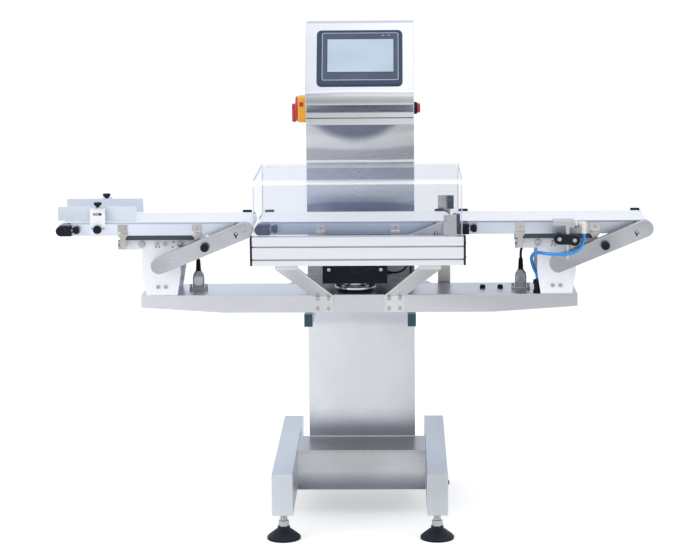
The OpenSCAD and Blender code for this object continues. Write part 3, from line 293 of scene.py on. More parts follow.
def make_sheen():
    """Painted reflection: soft wide bands of lighter and darker tone, as large polished sheets mirror their
    surroundings, and painted light that falls off along X by the slope.
    """
    tree, given, result, place = shader_tree("sheen", {
        "Colour": (0.6, 0.6, 0.6, 1), "Stretch": (1, 1, 12), "Shift": (0, 0, 0), "Contrast": 0.0,
        "Slope": 0.0}, "Colour")
    across = add(tree, "ShaderNodeSeparateXYZ", {0: place}).outputs["X"]
    bent = vectors(tree, "MULTIPLY_ADD", place, given["Stretch"], given["Shift"])
    bands = spread(tree, noise(tree, bent, 1.0, 1.0, 0.4), -0.5, 0.5)
    change = maths(tree, "MULTIPLY_ADD", bands, given["Contrast"], 1.0)
    tone = maths(tree, "MULTIPLY_ADD", across, given["Slope"], change)
    tree.links.new(shaded(tree, given["Colour"], tone), result["Colour"])
    return tree


# How much of red, green and blue a band of painted reflection takes away: its painted darker tones are
# bluish
PAINTED_BAND_LOSS = (1.0, 0.96, 0.82)


def make_painted_band():
    """One soft darker band of painted reflection across an upright sheet, like the mirrored edge of a dark
    surrounding.

    Its height changes with the square of the distance from the middle by Bow. Behind the front it fades.
    """
    tree, given, result, place = shader_tree("level band", {
        "Colour": (0.6, 0.6, 0.6, 1), "Height": 0.9, "Half width": 0.02, "Softness": 0.01, "Bow": 0.0,
        "Depth": 0.3, "Fade from": 0.09, "Fade to": 0.19}, "Colour")
    parts = add(tree, "ShaderNodeSeparateXYZ", {0: place}).outputs
    bow = times(tree, times(tree, parts["X"], parts["X"]), given["Bow"])
    drift = times(tree, spread(tree, noise(tree, place, 5.0, 1.0), -0.5, 0.5), 0.004)
    level = minus(tree, minus(tree, parts["Z"], given["Height"]), bow)
    off = maths(tree, "ABSOLUTE", plus(tree, level, drift))
    inside = maths(tree, "DIVIDE", minus(tree, given["Half width"], off), given["Softness"])
    share = mapped(tree, inside, -0.5, 0.5, 0.0, 1.0, interpolation_type="SMOOTHSTEP")
    near = mapped(tree, parts["Y"], given["Fade from"], given["Fade to"], 1.0, 0.0,
                  interpolation_type="SMOOTHSTEP")
    depth = times(tree, near, given["Depth"])
    loss = shaded(tree, PAINTED_BAND_LOSS, times(tree, share, depth))
    kept = vectors(tree, "SUBTRACT", (1.0, 1.0, 1.0), loss)
    tree.links.new(vectors(tree, "MULTIPLY", given["Colour"], kept), result["Colour"])
    return tree


def make_edge_wear():
    """Rubbed tone on the rounded edges, which pieces mark with an attribute named edge."""
    tree, given, result, place = shader_tree("edge wear", {
        "Colour": (0.5, 0.5, 0.5, 1), "Worn colour": (0.8, 0.8, 0.8, 1), "Amount": 0.3}, "Colour")
    mark = add(tree, "ShaderNodeAttribute", attribute_name="edge").outputs["Fac"]
    patches = spread(tree, noise(tree, place, 60.0, 4.0, 0.6), 0.2, 1.0)
    mask = times(tree, times(tree, mark, patches), given["Amount"])
    tree.links.new(mix_colours(tree, mask, given["Colour"], given["Worn colour"]), result["Colour"])
    return tree


def make_handling():
    """Smudges of hands and cloths, and thin scratches, as a change of roughness."""
    tree, given, result, place = shader_tree("handling", {"Roughness": 0.4, "Amount": 0.1}, "Roughness")
    smudges = spread(tree, noise(tree, place, 16.0, 5.0, 0.65, 0.4), -0.5, 0.5)
    bent = vectors(tree, "MULTIPLY", place, (14.0, 14.0, 420.0))
    scratches = maths(tree, "GREATER_THAN", noise(tree, bent, 1.0, 2.0, 0.5, 0.2), 0.7)
    change = plus(tree, smudges, times(tree, scratches, 0.4))
    worn = maths(tree, "MULTIPLY_ADD", change, given["Amount"], given["Roughness"])
    limited = output(tree, "ShaderNodeClamp", {"Value": worn, "Min": 0.03, "Max": 0.95})
    tree.links.new(limited, result["Roughness"])
    return tree


BRUSHING, MOULDING = make_brushing(), make_moulding()
PAINTED_SHEEN, PAINTED_BAND = make_sheen(), make_painted_band()
EDGE_WEAR, HANDLING = make_edge_wear(), make_handling()


def colour_of(code):
    """A screen colour such as c9cdd2, as linear light."""
    parts = [int(code[i:i + 2], 16) / 255 for i in (0, 2, 4)]
    return tuple(c / 12.92 if c <= 0.04045 else ((c + 0.055) / 1.055) ** 2.4 for c in parts) + (1.0,)


def material(name, code, smooth, rough, worn=None, metal=0.0, stretch=None, grain=900.0, contrast=0.1,
             bump=0.15, wear=0.3, handled=0.05, sheen=None, bands=(), **sockets):
    """A finish: brushed where stretch is given, else moulded, with worn edges and handling marks.

    The painted sheen gives a large sheet painted reflections, soft changes of tone, and painted light that
    falls off along X, as (stretch, shift, contrast, slope along X). The painted bands give an upright sheet
    level bands of painted reflection, each as (height, half width, softness, bow, depth), and
    where it differs, also the Y from which it fades and to which.
    """
    made = bpy.data.materials.new(name)
    made.use_nodes = True
    tree = made.node_tree
    shader = tree.nodes["Principled BSDF"]
    base = add(tree, "ShaderNodeGroup", node_tree=BRUSHING if stretch else MOULDING)
    pattern = ("Stretch", stretch) if stretch else ("Grain", grain)
    for label, value in (("Colour", colour_of(code)), pattern, ("Contrast", contrast),
                         ("Smooth", smooth), ("Rough", rough)):
        base.inputs[label].default_value = value
    edges = add(tree, "ShaderNodeGroup", node_tree=EDGE_WEAR)
    toned = base.outputs["Colour"]
    # Painted reflections, shade and light go on top of the finish's own tone
    effects = ([(PAINTED_SHEEN, sheen)] if sheen else []) + [(PAINTED_BAND, values) for values in bands]
    for group, values in effects:
        tones = add(tree, "ShaderNodeGroup", {"Colour": toned}, node_tree=group)
        for number, value in enumerate(values, 1):
            tones.inputs[number].default_value = value
        toned = tones.outputs["Colour"]
    tree.links.new(toned, edges.inputs["Colour"])
    edges.inputs["Worn colour"].default_value = colour_of(worn or code)
    edges.inputs["Amount"].default_value = wear if worn else 0.0
    tree.links.new(edges.outputs["Colour"], shader.inputs["Base Color"])
    marks = add(tree, "ShaderNodeGroup", {"Roughness": base.outputs["Roughness"], "Amount": handled},
                node_tree=HANDLING)
    tree.links.new(marks.outputs["Roughness"], shader.inputs["Roughness"])
    relief = output(tree, "ShaderNodeBump", {
        "Strength": bump, "Distance": 0.0004, "Height": base.outputs["Height"]})
    tree.links.new(relief, shader.inputs["Normal"])
    for label, value in {"Metallic": metal, **sockets}.items():
        shader.inputs[label.replace("_", " ")].default_value = value
    return made


ALONG_X, ALONG_Y, ALONG_Z = (6.0, 900.0, 900.0), (900.0, 6.0, 900.0), (900.0, 900.0, 6.0)
LEVEL = (6.0, 6.0, 900.0)

STILL = (0, 0, 0)

# Kinds of finish: their members share these values
steel = partial(material, metal=1.0, contrast=0.3, bump=0.1)
anodised = partial(material, stretch=ALONG_X, bump=0.05)
dull = partial(material, grain=1500.0, contrast=0.25, bump=0.25, Specular_IOR_Level=0.15)
bright = partial(material, grain=1500.0, contrast=0.08, bump=0.12, handled=0.06)
# The belts' darker rounded edges are partly rubbed dirt and partly painted shade along each belt's edge
belting = partial(material, grain=2200.0, contrast=0.05, bump=0.25, wear=0.6)
glossy = partial(material, bump=0.0, handled=0.03, Specular_IOR_Level=0.3, Coat_Weight=0.25,
                 Coat_Roughness=0.05)

# Painted reflections: what the column's tall sheet mirrors, as painted bands from under the head down to its
# foot
COLUMN_PAINTED_REFLECTIONS = (
    (0.985, 0.066, 0.030, 3.8, 0.68),
    (0.912, 0.016, 0.016, 0.6, -0.2),
    (0.8667, 0.0028, 0.002, 0.0, -1.6),
    (0.855, 0.041, 0.008, 0.3, 0.2),
    (0.792, 0.024, 0.012, 0.0, -0.6),
    (0.776, 0.010, 0.008, -0.4, -0.5),
    (0.728, 0.038, 0.012, -0.4, 0.45),
    (0.476, 0.016, 0.024, 0.0, 0.18),
    (0.19, 0.035, 0.05, 0.0, 0.3))

# Painted light and shade: the base box is painted lighter across its middle and darker at its lower edge
BASE_PAINTED_SHADE = ((0.137, 0.026, 0.02, 0.0, -0.24), (0.065, 0.03, 0.04, 0.0, 0.5))

# Painted shade: the head's front edge is painted darker than its slanted face, and a thin painted shade line
# runs along the bend above it
HEAD_PAINTED_SHADE = ((1.125, 0.083, 0.004, 0.0, 0.25, 0.2, 0.25), (1.0365, 0.0035, 0.0015, 0.0, 0.35))

# Painted light in these finishes: each painted sheen paints reflections and light that falls off along X,
# and each list of bands paints reflections and shade
FINISH = {
    "steel": steel(
        "satin steel", "cdd0d5", 0.2, 0.3, "eceef0", stretch=LEVEL, bands=COLUMN_PAINTED_REFLECTIONS,
        sheen=((6.0, 6.0, 4.0), (0.3, 0.0, 1.2), 0.12, -1.0)),
    # The base box's steel is painted darker than the column's: painted shade under the machine
    "base_steel": steel(
        "satin steel base box", "a6a9ae", 0.24, 0.34, "e8eaec", stretch=LEVEL, bands=BASE_PAINTED_SHADE,
        sheen=((5.0, 5.0, 9.0), STILL, 0.25, -0.2)),
    "leg_steel": steel(
        "satin steel legs", "c3c8cf", 0.26, 0.38, "eaecee", stretch=ALONG_Y, contrast=0.25,
        sheen=((3.0, 2.0, 6.0), STILL, 0.2, -0.6)),
    "bar_steel": steel(
        "satin steel beam", "cbcdd2", 0.24, 0.36, "eef0f2", stretch=ALONG_X,
        sheen=((2.5, 3.0, 14.0), (0.8, 0, 0), 0.2, -0.25)),
    "head_steel": steel(
        "bright steel head", "d3d6da", 0.18, 0.28, "f4f5f6", stretch=ALONG_X, contrast=0.14, bump=0.08,
        wear=0.12, bands=HEAD_PAINTED_SHADE, sheen=((2.0, 2.0, 9.0), STILL, 0.1, 0.6)),
    "guard_steel": steel(
        "satin steel guards", "b9bcc1", 0.24, 0.36, "eef0f2", stretch=LEVEL,
        sheen=((9.0, 9.0, 14.0), STILL, 0.3, -0.2)),
    "bracket_steel": steel(
        "bent bracket steel", "c3c2c1", 0.24, 0.36, "eceae6", stretch=ALONG_Z,
        sheen=((12.0, 12.0, 12.0), STILL, 0.3, 0.0)),
    "strut_steel": steel(
        "satin steel struts", "d3d4d7", 0.26, 0.38, "eeeff0", stretch=ALONG_Z, contrast=0.25,
        sheen=((8.0, 8.0, 8.0), STILL, 0.2, 0.0)),
    "aluminium": anodised("anodised aluminium", "e3e6eb", 0.3, 0.42, "f2f4f6", metal=0.7),
    "frame_aluminium": anodised(
        "blue grey anodised frame", "ccd3df", 0.3, 0.42, "e4e9ef", metal=0.8, contrast=0.15,
        sheen=((5.0, 1.0, 9.0), (0.5, 0, 0), 0.3, -0.3)),
    # Painted shade: a darker copy of the frame's anodising, used for the weigh conveyor's frame
    "shaded_aluminium": anodised(
        "darker anodised frame", "bcc6d8", 0.3, 0.42, "d8dfe8", metal=0.8, contrast=0.15,
        sheen=((5.0, 1.0, 9.0), (0.5, 0, 0), 0.3, 0.0)),
    "white_metal": material(
        "white powder coat", "e6eaf2", 0.3, 0.42, "c4c8ce", grain=1400.0, contrast=0.04, bump=0.12,
        wear=0.15, handled=0.04),
    "black_metal": dull(
        "black powder coat", "10131e", 0.4, 0.52, "585c66", grain=1300.0, contrast=0.3, bump=0.3),
    "black_plastic": dull(
        "black moulded plastic", "191b26", 0.34, 0.48, "4b4f5c", grain=1600.0, handled=0.08),
    "arm_plastic": dull("dark green grey plugs", "3a545e", 0.35, 0.5, "587079", contrast=0.2),
    "dark_plastic": dull("dark moulded plastic", "20242f", 0.34, 0.48, "555b68", handled=0.08),
    "bar_plastic": dull("grey cradle bars", "444951", 0.34, 0.48, "6b7078", bump=0.2, handled=0.08),
    "bezel_plastic": dull(
        "slate blue frame", "39445a", 0.28, 0.4, "8590a3", contrast=0.12, bump=0.15, wear=0.5),
    "screen_border": glossy(
        "printed screen border", "384660", 0.1, 0.2, contrast=0.3,
        sheen=((14.0, 14.0, 9.0), STILL, 0.3, 0.0)),
    "screen_glass": glossy(
        "pale display", "a9b9ca", 0.1, 0.2, contrast=0.08,
        sheen=((6.0, 6.0, -12.0), (0.4, 0, 0.2), 0.2, 0.0)),
    "pale_lip": material("pale lip and marks", "b9c1cc", 0.25, 0.35, contrast=0.05, bump=0.05),
    "yellow_plastic": bright("yellow moulded plastic", "eea61e", 0.24, 0.36, "f5bf5e"),
    "red_plastic": bright("red moulded plastic", "b92f3c", 0.22, 0.34, "d76670"),
    "belt_white": belting("smooth white belting", "eaeef5", 0.42, 0.55, "c2c7d2"),
    # A lighter copy of the white belting for the weigh belt: painted light
    "weigh_belt": belting("weigh belt", "fbfcff", 0.42, 0.55, "d2d7e2"),
    "guide_plastic": material(
        "milky plastic sheet", "c9d2de", 0.25, 0.35, "e6ebf1", grain=700.0, contrast=0.06, bump=0.05,
        wear=0.6, sheen=((7.0, 7.0, 7.0), STILL, 0.15, 0.0)),
    "steel_shaft": steel(
        "turned steel", "c6c9ce", 0.12, 0.22, "ebecee", grain=1200.0, contrast=0.15, bump=0.08),
    "zinc": steel("zinc plated screws", "b4b6b8", 0.2, 0.32, "eceae6", grain=800.0, handled=0.06),
    "weld": material(
        "bright weld beads", "f2f4f6", 0.3, 0.45, metal=0.4, grain=700.0, contrast=0.3, bump=0.3),
    "black_rubber": dull(
        "black rubber", "15161a", 0.45, 0.6, "3a3b40", grain=1800.0, contrast=0.3, bump=0.3),
    "blue_tube": material(
        "blue air tube", "1284d6", 0.14, 0.24, grain=500.0, bump=0.05, Coat_Weight=0.3, Coat_Roughness=0.1),
    "fitting": material(
        "cream fitting", "d9d4c8", 0.25, 0.36, "f0ece2", grain=1200.0, contrast=0.08, bump=0.12),
    "plug_grey": material(
        "grey metal hood", "9aa0a9", 0.22, 0.34, "e8eaee", metal=0.8, grain=1000.0, contrast=0.3, wear=0.8,
        handled=0.08),
    "gear_grey": material("grey modules", "9a9fa8", 0.35, 0.5, "c2c6cc", grain=1100.0),
}


def make_clear_sheet():
    """Clear acrylic: a thin blue haze on its faces, with painted shade towards the right, and a painted
    highlight at its bends and cut edges.

    It casts no shadow, so that what stands in it keeps its light.
    """
    made = bpy.data.materials.new("clear acrylic")
    made.use_nodes = True
    tree = made.node_tree
    shader = tree.nodes["Principled BSDF"]
    shader.inputs["IOR"].default_value = 1.49
    base = add(tree, "ShaderNodeGroup", {
        "Colour": colour_of("92a0c0"), "Grain": 90.0, "Contrast": 0.03, "Smooth": 0.05, "Rough": 0.12},
        node_tree=MOULDING)
    # Painted shade: the haze is darker towards the right
    painted_shade_right = add(tree, "ShaderNodeGroup", {"Colour": base.outputs["Colour"], "Slope": -1.2},
                       node_tree=PAINTED_SHEEN)
    # Painted highlight: the marked faces of bends and cut edges turn near white and less clear
    mark = add(tree, "ShaderNodeAttribute", attribute_name="edge").outputs["Fac"]
    bright = mix_colours(tree, mark, painted_shade_right.outputs["Colour"], colour_of("fafcff")[:3])
    tree.links.new(bright, shader.inputs["Base Color"])
    tree.links.new(base.outputs["Roughness"], shader.inputs["Roughness"])
    slant = add(tree, "ShaderNodeLayerWeight", {"Blend": 0.25}).outputs["Facing"]
    haze = maths(tree, "MULTIPLY_ADD", slant, 0.05, 0.1)
    clear = maths(tree, "MAXIMUM", haze, times(tree, mark, 0.3))
    shadow = tree.nodes.new("ShaderNodeLightPath").outputs["Is Shadow Ray"]
    unshaded = minus(tree, 1.0, shadow)
    tree.links.new(times(tree, clear, unshaded), shader.inputs["Alpha"])
    return made


FINISH["clear_cover"] = make_clear_sheet()


# Meshes: shapes are added to one bmesh, which then becomes a piece

def bridge(bm, loops, tint):
    """Joins each loop of vertices to the next, closes both ends and gives the bmesh back.

    A loop of one vertex is a tip, where the faces are triangles.
    """
    outlines = []
    for first, second in zip(loops, loops[1:]):
        count = max(len(first), len(second))
        for k in range(count if count > 1 else 0):
            n = (k + 1) % count
            spots = [first[i % len(first)] for i in (k, n)] + [second[i % len(second)] for i in (n, k)]
            outlines.append(list(dict.fromkeys(spots)))
    outlines += [loop for loop in (loops[0][::-1], loops[-1]) if len(loop) > 1]
    for outline in outlines:
        bm.faces.new(outline).material_index = tint
    return bm


def pose_of(point, out, across=None):
    """Places a shape's own Z along out, and its X along across if given."""
    out = Vector(out).normalized()
    if across is None:
        return Matrix.Translation(point) @ out.to_track_quat("Z", "Y").to_matrix().to_4x4()
    across = Vector(across).normalized()
    return Matrix.Translation(point) @ Matrix((across, out.cross(across), out)).transposed().to_4x4()


def turned(bm, rings, point, out, sides=32, tint=0):
    """A turned shape from rings of (radius, height) in mm, or (radius, height, corners) where flat-sided."""
    pose = pose_of(point, out)
    loops = []
    for radius, height, *flats in rings:
        if radius == 0:
            loops.append([bm.verts.new(pose @ Vector((0, 0, height * MM)))])
            continue
        loop = []
        for k in range(sides):
            angle = 2 * math.pi * k / sides
            reach = radius * MM
            if flats:
                half = math.pi / flats[0]
                reach *= math.cos(half) / math.cos(angle % (2 * half) - half)
            spot = Vector((reach * math.cos(angle), reach * math.sin(angle), height * MM))
            loop.append(bm.verts.new(pose @ spot))
        loops.append(loop)
    return bridge(bm, loops, tint)


def disc(radius, low, high):
    """Rings of a plain round plate or bar, for turned."""
    return [(0, low), (radius, low), (radius, high), (0, high)]


def slab(width, height, radius, low, high, *shift):
    """Sections of a plain plate with rounded corners, for lofted."""
    return [(width, height, radius, low, *shift), (width, height, radius, high, *shift)]


def lofted(bm, loops, point, out, across, tint=0, corner_points=5):
    """A shape from rounded rectangles, as (width, height, corner radius, level, shift across, shift up)."""
    pose = pose_of(point, out, across)
    made = []
    for width, height, radius, level, *shift in loops:
        move = shift or (0, 0)
        loop = []
        for corner, (sx, sy) in enumerate(((1, 1), (-1, 1), (-1, -1), (1, -1))):
            centre = Vector((sx * (width / 2 - radius) + move[0], sy * (height / 2 - radius) + move[1],
                             level))
            for k in range(corner_points):
                angle = math.pi / 2 * (corner + k / (corner_points - 1))
                reach = Vector((math.cos(angle), math.sin(angle), 0)) * radius
                loop.append(bm.verts.new(pose @ ((centre + reach) * MM)))
        made.append(loop)
    return bridge(bm, made, tint)


def block(bm, x, y, z, tint=0):
    """A box from its ranges on the model's own axes, in mm."""
    centre = at(sum(x) / 2, sum(y) / 2, sum(z) / 2)
    size = Vector((x[1] - x[0], y[1] - y[0], z[1] - z[0])) * MM
    pose = Matrix.Translation(centre) @ Matrix.Diagonal(size).to_4x4()
    made = bmesh.ops.create_cube(bm, size=1.0, matrix=pose)
    for face in {face for vert in made["verts"] for face in vert.link_faces}:
        face.material_index = tint


def strip_frame(bm, reach, levels, half, y):
    """Strips round an upright opening: at both sides, reach from the middle, and at both levels."""
    for x in (-reach, reach):
        block(bm, (x - half, x + half), y, levels)
    for z in levels:
        block(bm, (-reach - half, reach + half), y, (z - half, z + half))


def round_edges(bm, width, segments):
    """Rounds each sharp edge and marks the rounded faces for the wear, and on the clear cover for its
    painted highlight.
    """
    mark = bm.faces.layers.float.get("edge") or bm.faces.layers.float.new("edge")
    if width <= 0:
        return
    edges = [e for e in bm.edges if len(e.link_faces) == 2 and e.calc_face_angle(0) > SHARP_EDGE]
    made = bmesh.ops.bevel(bm, geom=edges, offset=width * MM, offset_type="OFFSET", segments=segments,
                           profile=0.5, affect="EDGES", clamp_overlap=True, material=-1)
    for face in made["faces"]:
        face[mark] = 1.0


def settle(piece, body, slot, *nodes):
    """Gives a piece its body, and hides the CAD node that it stands for."""
    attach(piece, body)
    if nodes:
        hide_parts(*nodes)
    return piece


def shade(mesh, limit=SMOOTH_LIMIT):
    mesh.shade_smooth()
    mesh.set_sharp_from_angle(angle=math.radians(limit))


def build(bm, name, finishes, *nodes, body="machine", slot=None, bevel=0.0, segments=2,
          smooth=SMOOTH_LIMIT):
    """Turns a bmesh into a piece on its body. Its slot argument is not used."""
    bmesh.ops.recalc_face_normals(bm, faces=bm.faces)
    round_edges(bm, bevel, segments)
    mesh = bpy.data.meshes.new(name)
    bm.to_mesh(mesh)
    bm.free()
    for key in finishes:
        mesh.materials.append(FINISH[key])
    shade(mesh, smooth)
    piece = bpy.data.objects.new(name, mesh)
    bpy.context.scene.collection.objects.link(piece)
    if bevel > 0:
        piece.modifiers.new("even shading", "WEIGHTED_NORMAL").keep_sharp = True
    settle(piece, body, slot or finishes[0], *nodes)


def solids_of(node):
    """The node's mesh joined up, as one bmesh."""
    bm = bmesh.new()
    bm.from_mesh(frame["nodes"][node].data)
    bmesh.ops.remove_doubles(bm, verts=bm.verts, dist=WELD)
    return bm


def islands(node):
    """Middle and size of each loose solid of a CAD node, from left to right."""
    bm = solids_of(node)
    found, seen = [], set()
    for start in bm.verts:
        if start in seen:
            continue
        seen.add(start)
        group, front = [], [start]
        while front:
            vert = front.pop()
            group.append(vert.co.copy())
            for edge in vert.link_edges:
                other = edge.other_vert(vert)
                if other not in seen:
                    seen.add(other)
                    front.append(other)
        low = Vector(min(p[i] for p in group) for i in range(3))
        high = Vector(max(p[i] for p in group) for i in range(3))
        found.append((middle_of(low, high), high - low))
    bm.free()
    return sorted(found, key=lambda pair: (round(pair[0].x, 4), round(pair[0].y, 4), pair[0].z))


def merge_flats(bm):
    """Joins the triangles of each flat face."""
    bmesh.ops.dissolve_limit(bm, angle_limit=FLAT, verts=bm.verts, edges=bm.edges)
    return bm


def joined_copy(node):
    """The node's mesh joined up, with its flat faces whole."""
    return merge_flats(solids_of(node))


def dress(node, finish, bevel=0.8, segments=2):
    """A finished copy of a CAD node, with rounded edges and its own finish."""
    build(joined_copy(node), node + "_finished", [finish], node, body=frame["nodes"][node]["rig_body"],
          slot=SLOT[node], bevel=bevel, segments=segments)


# Geometry trees for what repeats or follows a path

def geometry_tree(name, inputs):
    inputs = {"Geometry": "Geometry", **inputs, "Material": "Material"}
    return new_tree(name, "GeometryNodeTree", inputs, {"Geometry": "Geometry"})


def close_tree(tree, geometry, given, result):
    """Every tree ends the same way: real copies with one material."""
    real = output(tree, "GeometryNodeRealizeInstances", {"Geometry": geometry})
    dressed = output(tree, "GeometryNodeSetMaterial", {"Geometry": real, "Material": given["Material"]})
    tree.links.new(dressed, result["Geometry"])
    return tree


def ring_of(tree, radius, resolution):
    return output(tree, "GeometryNodeCurvePrimitiveCircle", {"Radius": radius, "Resolution": resolution})


def make_copies_tree():
    """Copies of a part, standing on points along their out direction."""
    tree, given, result = geometry_tree("copies on points", {"Part": "Object"})
    part = add(tree, "GeometryNodeObjectInfo", {"Object": given["Part"]}, transform_space="ORIGINAL")
    out = output(tree, "GeometryNodeInputNamedAttribute", {"Name": "out"}, data_type="FLOAT_VECTOR")
    turn = output(tree, "FunctionNodeAlignRotationToVector", {"Vector": out}, axis="Z")
    placed = output(tree, "GeometryNodeInstanceOnPoints", {
        "Points": given["Geometry"], "Instance": part.outputs["Geometry"], "Rotation": turn})
    return close_tree(tree, placed, given, result)


def make_ribs_tree():
    """Straight ribs round a ring, such as the grip of a knob."""
    tree, given, result = geometry_tree("ribs round a ring", {
        "Count": 20, "Radius": 0.01, "Rib width": 0.001, "Rib length": 0.01})
    ring = ring_of(tree, given["Radius"], given["Count"])
    size = output(tree, "ShaderNodeCombineXYZ", {
        0: given["Rib width"], 1: given["Rib width"], 2: given["Rib length"]})
    rib = output(tree, "GeometryNodeMeshCube", {"Size": size})
    points = output(tree, "GeometryNodeCurveToPoints", {"Curve": ring}, mode="EVALUATED")
    away = output(tree, "FunctionNodeAlignRotationToVector", {
        "Vector": output(tree, "GeometryNodeInputPosition")}, axis="X", pivot_axis="Z")
    placed = output(tree, "GeometryNodeInstanceOnPoints", {
        "Points": points, "Instance": rib, "Rotation": away})
    return close_tree(tree, placed, given, result)


def make_rings_tree():
    """Round beads one above the other, such as a thread or the ribs of a boot."""
    tree, given, result = geometry_tree("rings along a line", {
        "Count": 8, "Step": 0.002, "First radius": 0.006, "Last radius": 0.004, "Bead": 0.0006})
    rise = output(tree, "ShaderNodeCombineXYZ", {2: given["Step"]})
    line = output(tree, "GeometryNodeMeshLine", {"Count": given["Count"], "Offset": rise})
    ring = ring_of(tree, 1.0, 28)
    index = output(tree, "GeometryNodeInputIndex")
    last = maths(tree, "MAXIMUM", minus(tree, given["Count"], 1.0), 1.0)
    share = maths(tree, "DIVIDE", index, last)
    change = minus(tree, given["Last radius"], given["First radius"])
    radius = maths(tree, "MULTIPLY_ADD", share, change, given["First radius"])
    rings = output(tree, "GeometryNodeInstanceOnPoints", {"Points": line, "Instance": ring, "Scale": radius})
    real = output(tree, "GeometryNodeRealizeInstances", {"Geometry": rings})
    section = ring_of(tree, given["Bead"], 8)
    beads = output(tree, "GeometryNodeCurveToMesh", {"Curve": real, "Profile Curve": section})
    return close_tree(tree, beads, given, result)


def make_tube_tree():
    """A round tube along a route of points."""
    tree, given, result = geometry_tree("tube along a route", {"Diameter": 0.006, "Sides": 16})
    route = output(tree, "GeometryNodeMeshToCurve", {"Mesh": given["Geometry"]})
    section = ring_of(tree, times(tree, given["Diameter"], 0.5), given["Sides"])
    tube = output(tree, "GeometryNodeCurveToMesh", {
        "Curve": route, "Profile Curve": section, "Fill Caps": True})
    return close_tree(tree, tube, given, result)


def make_loop_tree():
    """Small blocks at even steps along a closed or open route, square to it."""
    tree, given, result = geometry_tree("blocks along a route", {"Count": 60, "Size": (0.001, 0.001, 0.001)})
    route = output(tree, "GeometryNodeMeshToCurve", {"Mesh": given["Geometry"]})
    even = add(tree, "GeometryNodeCurveToPoints", {"Curve": route, "Count": given["Count"]}, mode="COUNT")
    tooth = output(tree, "GeometryNodeMeshCube", {"Size": given["Size"]})
    placed = output(tree, "GeometryNodeInstanceOnPoints", {
        "Points": even.outputs["Points"], "Instance": tooth, "Rotation": even.outputs["Rotation"]})
    return close_tree(tree, placed, given, result)


def make_row_tree():
    """A row of equal blocks, such as cooling fins, vents or terminals."""
    tree, given, result = geometry_tree("row of blocks", {
        "Count": 8, "Step": (0.01, 0, 0), "Size": (0.001, 0.001, 0.001)})
    half = shaded(tree, given["Step"], times(tree, minus(tree, given["Count"], 1.0), -0.5))
    line = output(tree, "GeometryNodeMeshLine", {
        "Count": given["Count"], "Start Location": half, "Offset": given["Step"]})
    fin = output(tree, "GeometryNodeMeshCube", {"Size": given["Size"]})
    placed = output(tree, "GeometryNodeInstanceOnPoints", {"Points": line, "Instance": fin})
    return close_tree(tree, placed, given, result)


COPIES, RIBS, RINGS = make_copies_tree(), make_ribs_tree(), make_rings_tree()
TUBE, LOOP, ROW = make_tube_tree(), make_loop_tree(), make_row_tree()


def in_metres(value):
    """Lengths are floats in mm and become metres. Whole numbers are counts, and objects stay."""
    if isinstance(value, tuple):
        return tuple(part * MM for part in value)
    return value * MM if isinstance(value, float) else value


def grown(name, tree, finish, *nodes, mesh=None, pose=Matrix(), slot=None, **sizes):
    """Runs a geometry tree, on a mesh where it needs one, and keeps the result as a plain mesh piece."""
    holder = bpy.data.objects.new(name, mesh or line_mesh([Vector(), Z]))
    bpy.context.scene.collection.objects.link(holder)
    modifier = holder.modifiers.new("grow", "NODES")
    modifier.node_group = tree
    values = {label.replace("_", " "): in_metres(value) for label, value in sizes.items()}
    values["Material"] = FINISH[finish]
    for item in tree.interface.items_tree:
        if item.in_out == "INPUT" and item.name in values:
            modifier[item.identifier] = values[item.name]
    shown = holder.evaluated_get(bpy.context.evaluated_depsgraph_get())
    made = bpy.data.meshes.new_from_object(shown)
    holder.modifiers.remove(modifier)
    made.name = name
    made.transform(pose)
    shade(made)
    holder.data = made
    return settle(holder, "machine", slot or finish, *nodes)


def line_mesh(points, closed=False):
    mesh = bpy.data.meshes.new("line")
    count = len(points)
    edges = [(k, (k + 1) % count) for k in range(count if closed else count - 1)]
    mesh.from_pydata([tuple(p) for p in points], edges, [])
    return mesh


def copies(name, part, places, *nodes, finish="zinc"):
    """Copies of a small part, given as a bmesh along Z, at (point, out) places."""
    mesh = bpy.data.meshes.new(name + "_part")
    part.to_mesh(mesh)
    part.free()
    model = bpy.data.objects.new(name + "_part", mesh)
    bpy.context.scene.collection.objects.link(model)
    points = bpy.data.meshes.new(name)
    points.from_pydata([tuple(point) for point, out in places], [], [])
    outs = points.attributes.new("out", "FLOAT_VECTOR", "POINT")
    for spot, (point, out) in zip(outs.data, places):
        spot.vector = Vector(out)
    grown(name, COPIES, finish, *nodes, mesh=points, Part=model)
    bpy.data.objects.remove(model)


# Small parts that are used in many places

def turned_part(rings, sides):
    """A small turned part along Z, for copies."""
    return turned(bmesh.new(), rings, Vector(), Z, sides)


def socket_head(diameter, height):
    """A socket screw head, its six-sided recess included."""
    r = diameter / 2
    return turned_part([
        (0, -0.5), (r, -0.5), (r, height * 0.8), (r * 0.88, height), (r * 0.56, height),
        (r * 0.5, height * 0.96, 6), (r * 0.5, height * 0.3, 6), (0, height * 0.25)], 24)


def button_head(diameter, height):
    """A low round head with a small recess."""
    r = diameter / 2
    return turned_part([
        (0, -0.5), (r, -0.5), (r, height * 0.3), (r * 0.8, height * 0.8), (r * 0.5, height),
        (r * 0.4, height * 0.95, 6), (r * 0.4, height * 0.4, 6), (0, height * 0.35)], 18)


def hex_head(radius, height):
    """A hexagon head with its chamfer and its washer face."""
    return turned_part([
        (0, -0.5), (radius * 1.02, -0.5), (radius * 1.02, 0.5), (radius, 0.6, 6),
        (radius, height * 0.8, 6), (radius * 0.87, height), (0, height)], 36)


def dark_hole(diameter):
    """A plain hole seen from outside: a thin rim round a shallow dish, dark as painted shade of the hole."""
    r = diameter / 2
    return turned_part([(0, -0.4), (r, -0.4), (r, 0.12), (r * 0.85, 0.12), (r * 0.8, 0.02), (0, 0.02)], 14)


